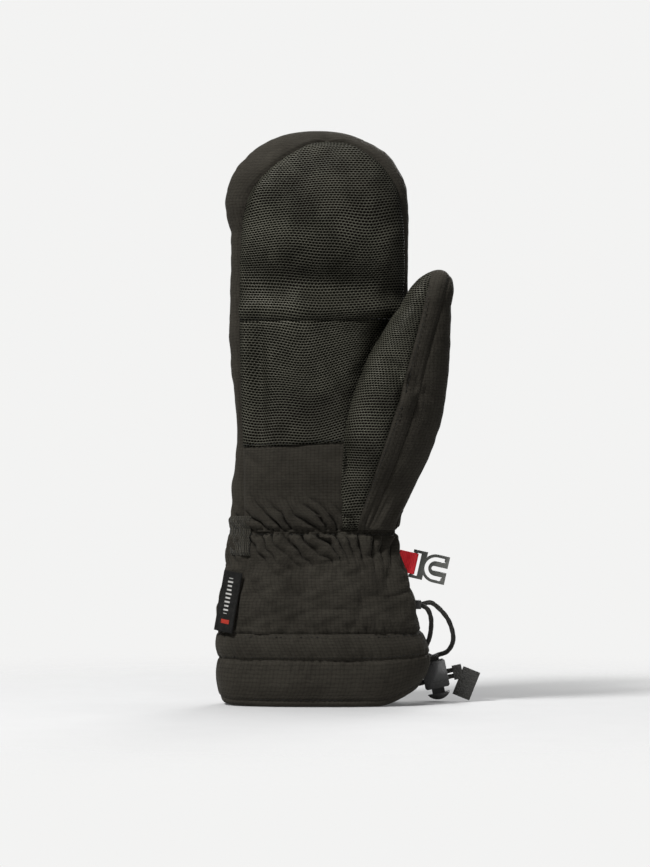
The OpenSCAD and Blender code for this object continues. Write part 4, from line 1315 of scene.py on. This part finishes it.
def make_drawcord():
    """The ring in the tunnel, and the two legs that leave by the keeper and enter the lock from behind."""
    ring_z = (TUNNEL_Z + CUFF_Z) / 2
    phi = np.linspace(0.14, 2 * PI - 0.14, 400)
    ring = body(np.full_like(phi, ring_z), phi, 2.6)
    keep = sum(corners("cord_keeper")) / 2
    tunnel = Mesh()
    braid_tube(tunnel, resample(ring, 0.8)[0], CORD_R, 10)
    for side, start in ((1, ring[0]), (-1, ring[-1])):
        inside = [start, [body_right(ring_z + 5) - 3.4, side * 3.4, ring_z + 5],
                  [body_right(48) - 3.0, side * 2.2, 48], [body_right(54) - 2.6, side * 1.8, 54],
                  [keep[0] - 2.6, side * 1.8, keep[2] - 0.5], [keep[0] + 2.4, side * 1.8, keep[2]]]
        braid_tube(tunnel, curve_through(inside, 0.6), CORD_R, 12)
    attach(tunnel.piece("drawcord_ring", [CORD], "drawcord", "cord"), "cuff")

    outer_in = lock_point(-6.8, CORD_RISE)
    inner_in = lock_point(-6.8, -CORD_RISE)
    w = CUFF_W / 125.0
    outer = [[keep[0] + 0.5, 1.8, keep[2]], [keep[0] + 3.2, 1.9, keep[2] + 0.2], [65.5 * w, 2.6, 58.5],
             [74.2 * w, 6, 49.5], [77.8 * w, 11, 38], [75 * w, 19, 29.8], [68.5 * w, 26.3, 26.5],
             [60 * w, 27.3, 22.5], [55.2 * w, 24.3, 17.5], outer_in + [-3.2, 2.6, -0.3], outer_in]
    inner = [[keep[0] + 0.5, -1.8, keep[2]], [keep[0] + 3.0, -1.7, keep[2] - 0.4], [62.8 * w, -0.8, 54.5],
             [64.6 * w, 3.2, 47.5], [63.4 * w, 9.5, 37], [58.8 * w, 15.2, 27.5], [54.8 * w, 18, 18],
             inner_in + [-4.2, -1.6, -0.6], inner_in]
    loop = Mesh()
    for leg in (outer, inner):
        braid_tube(loop, curve_through(leg, 0.35), CORD_R)
    obj = loop.build("drawcord_loop", [CORD])
    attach(obj, "cuff")
    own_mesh(obj)


def make_cord_tail():
    mesh = Mesh()
    for side in (-1, 1):
        stops = [lock_point(across, side * CORD_RISE) for across in (-6.9, 0, 7.6, 12.0)]
        braid_tube(mesh, curve_through(stops, 0.35), CORD_R)
    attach(mesh.piece("cord_tails", [CORD], "cord_tail", "cord"), "pull")


def make_spring():
    """The coil between the plunger's stem and the housing, built at one fixed length."""
    low, high = corners("cord_lock_spring")
    middle = (low + high) / 2
    wire, coil = 0.2, 2.0
    height = (high[2] - low[2] - 2 * (coil + wire) * abs(LOCK_Z[0])) / abs(LOCK_Z[2]) - 2 * wire
    turn = np.linspace(0, 6 * PI, 220)
    up = LOCK_Z * np.sign(LOCK_Z[2])
    around = np.cos(turn)[:, None] * LOCK_X + np.sin(turn)[:, None] * np.array([0, 1, 0])
    path = middle + coil * around + np.linspace(-height / 2, height / 2, 220)[:, None] * up
    mesh = braid_tube(Mesh(), path, wire, 10, 0.0)
    obj = mesh.piece("cord_lock_spring_coil", [STEEL], "cord_lock_spring", "spring")
    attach(obj, "cuff")
    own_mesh(obj)


def make_lock_tab():
    """Webbing from the cuff's side, through the lock's ear and back on itself."""
    ear = lock_point(-1.0, ear_height())
    box_low, box_high = corners("lock_tab")
    seam_end = np.array([box_low[0] - 0.6, box_low[1] + 0.2, box_high[2] - 2.5])
    wide = 7.8
    across = LOCK_X
    middle = (ear + seam_end) / 2 + np.array([0.6, 0.7, 0.3])
    path = curve_through([ear + [0.6, 0.4, -0.9], ear + [0, 0.1, 0.2], middle, seam_end], 0.5)
    t = np.linspace(-wide / 2, wide / 2, 18)
    u = unit(np.cross(np.gradient(path, axis=0), across))
    mesh = Mesh()
    for layer in (0.0, 0.95):
        centre = path + u * layer
        level = centre[:, None] + t[None, :, None] * across
        mesh.sheet(level + u[:, None] * 0.4, level - u[:, None] * 0.4)
    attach(mesh.piece("lock_tab_webbing", [WEBBING], "lock_tab", "webbing"), "cuff")


def ear_height():
    """How far above the bores the ear's slot is."""
    top = corners("cord_lock_body")[1]
    return (top[2] - LOCK_MID[2]) / LOCK_Z[2] - EAR_DROP


# ---- Carried-over hardware ----
def bevel(node, material, width):
    obj = frame["nodes"][node]
    obj.data.materials.clear()
    obj.data.materials.append(material)
    for polygon in obj.data.polygons:
        polygon.use_smooth = True
    weld = obj.modifiers.new("weld", "WELD")
    weld.merge_threshold = 0.00002
    soft = obj.modifiers.new("bevel", "BEVEL")
    soft.width = width
    soft.segments = 3
    soft.limit_method = "ANGLE"
    soft.angle_limit = math.radians(35)
    soft.harden_normals = True


def make_hardware():
    bevel("glove_clip", CLIP, 0.00045)
    bevel("cord_lock_body", LOCK, 0.0007)
    bevel("cord_lock_plunger", LOCK, 0.0007)
    bevel("cord_keeper", KEEPER, 0.0005)
    bevel("pull_tab", RUBBER, 0.0006)


# ---- Light, floor and camera ----
def area(name, place, target, size, power):
    light = bpy.data.lights.new(name, "AREA")
    light.shape = "RECTANGLE"
    light.size, light.size_y = size
    light.energy = power
    obj = bpy.data.objects.new(name, light)
    obj.location = place
    obj.rotation_mode = "QUATERNION"
    obj.rotation_quaternion = (Vector(target) - Vector(place)).to_track_quat("-Z", "Y")
    bpy.context.scene.collection.objects.link(obj)


def pale_floor():
    """A round pale floor whose rim fades into the background."""
    n = Nodes("paper")
    where = n.object_place()
    fibre = n.noise(where, 40.0, 3.0)
    color = n.mix(fibre, rgb(0.41, 0.41, 0.41), rgb(0.44, 0.44, 0.44))
    length = n.new("ShaderNodeVectorMath", operation="LENGTH")
    n.put(where, length.inputs[0])
    shown = n.span(length.outputs["Value"], 0.1, 0.5, 1.0, 0.0)
    from_below = n.new("ShaderNodeNewGeometry").outputs["Backfacing"]
    shown = n.mul(shown, n.sub(1.0, from_below))
    seen = n.new("ShaderNodeLightPath").outputs["Is Camera Ray"]
    n.finish(Base_Color=color, Roughness=0.9, Specular_IOR_Level=0.05, Alpha=shown,
             Emission_Color=rgb(1.0, 1.0, 1.0), Emission_Strength=n.mul(seen, 0.08))
    turn = np.linspace(0, 2 * PI, 64, endpoint=False)
    points = [(0.0, 0.0, -0.0002)] + [(0.7 * math.cos(a), 0.7 * math.sin(a), -0.0002) for a in turn]
    faces = [(0, k + 1, (k + 1) % 64 + 1) for k in range(64)]
    data = bpy.data.meshes.new("pale_floor")
    data.from_pydata(points, [], faces)
    data.materials.append(n.material)
    obj = bpy.data.objects.new("pale_floor", data)
    bpy.context.scene.collection.objects.link(obj)


def studio_world():
    """An even pale background for the camera, and a weaker even light for the object."""
    world = bpy.data.worlds.new("studio")
    world.use_nodes = True
    tree = world.node_tree
    seen = tree.nodes["Background"]
    seen.inputs[0].default_value = rgb(0.896, 0.896, 0.89)
    seen.inputs[1].default_value = 1.0
    lit = tree.nodes.new("ShaderNodeBackground")
    lit.inputs[0].default_value = rgb(0.95, 0.97, 1.0)
    lit.inputs[1].default_value = 0.16
    path = tree.nodes.new("ShaderNodeLightPath")
    mix = tree.nodes.new("ShaderNodeMixShader")
    tree.links.new(path.outputs["Is Camera Ray"], mix.inputs[0])
    tree.links.new(lit.outputs[0], mix.inputs[1])
    tree.links.new(seen.outputs[0], mix.inputs[2])
    tree.links.new(mix.outputs[0], tree.nodes["World Output"].inputs[0])
    bpy.context.scene.world = world


def make_studio():
    scene = bpy.context.scene
    scene.view_settings.view_transform = "Standard"
    scene.view_settings.look = "None"
    studio_world()
    aim = (0.0, 0.0, 0.17)
    area("key", (-0.95, -0.95, 1.75), aim, (0.4, 0.4), 66)
    area("fill", (0.9, -2.0, 0.3), aim, (0.7, 0.7), 12)
    area("top", (0.2, 0.3, 1.9), aim, (0.9, 0.5), 14)
    area("back", (0.6, 1.7, 1.0), aim, (0.8, 0.8), 20)
    pale_floor()
    camera = bpy.data.cameras.new("camera")
    camera.sensor_width = 36
    camera.sensor_fit = "AUTO"
    distance, view_height = 2.0, 0.507
    camera.lens = 36 * distance / view_height
    obj = bpy.data.objects.new("camera", camera)
    centre = Vector((0.0023, 0.0, 0.158))
    obj.location = centre + Vector((0, -distance, 0))
    obj.rotation_euler = (PI / 2, 0, 0)
    scene.collection.objects.link(obj)
    scene.camera = obj


make_palm()
make_back()
make_thumb()
make_cuff()
make_bands()
make_side_patch()
make_label()
make_inside()
make_clip_loop()
make_drawcord()
make_cord_tail()
make_spring()
make_lock_tab()
make_hardware()
make_studio()
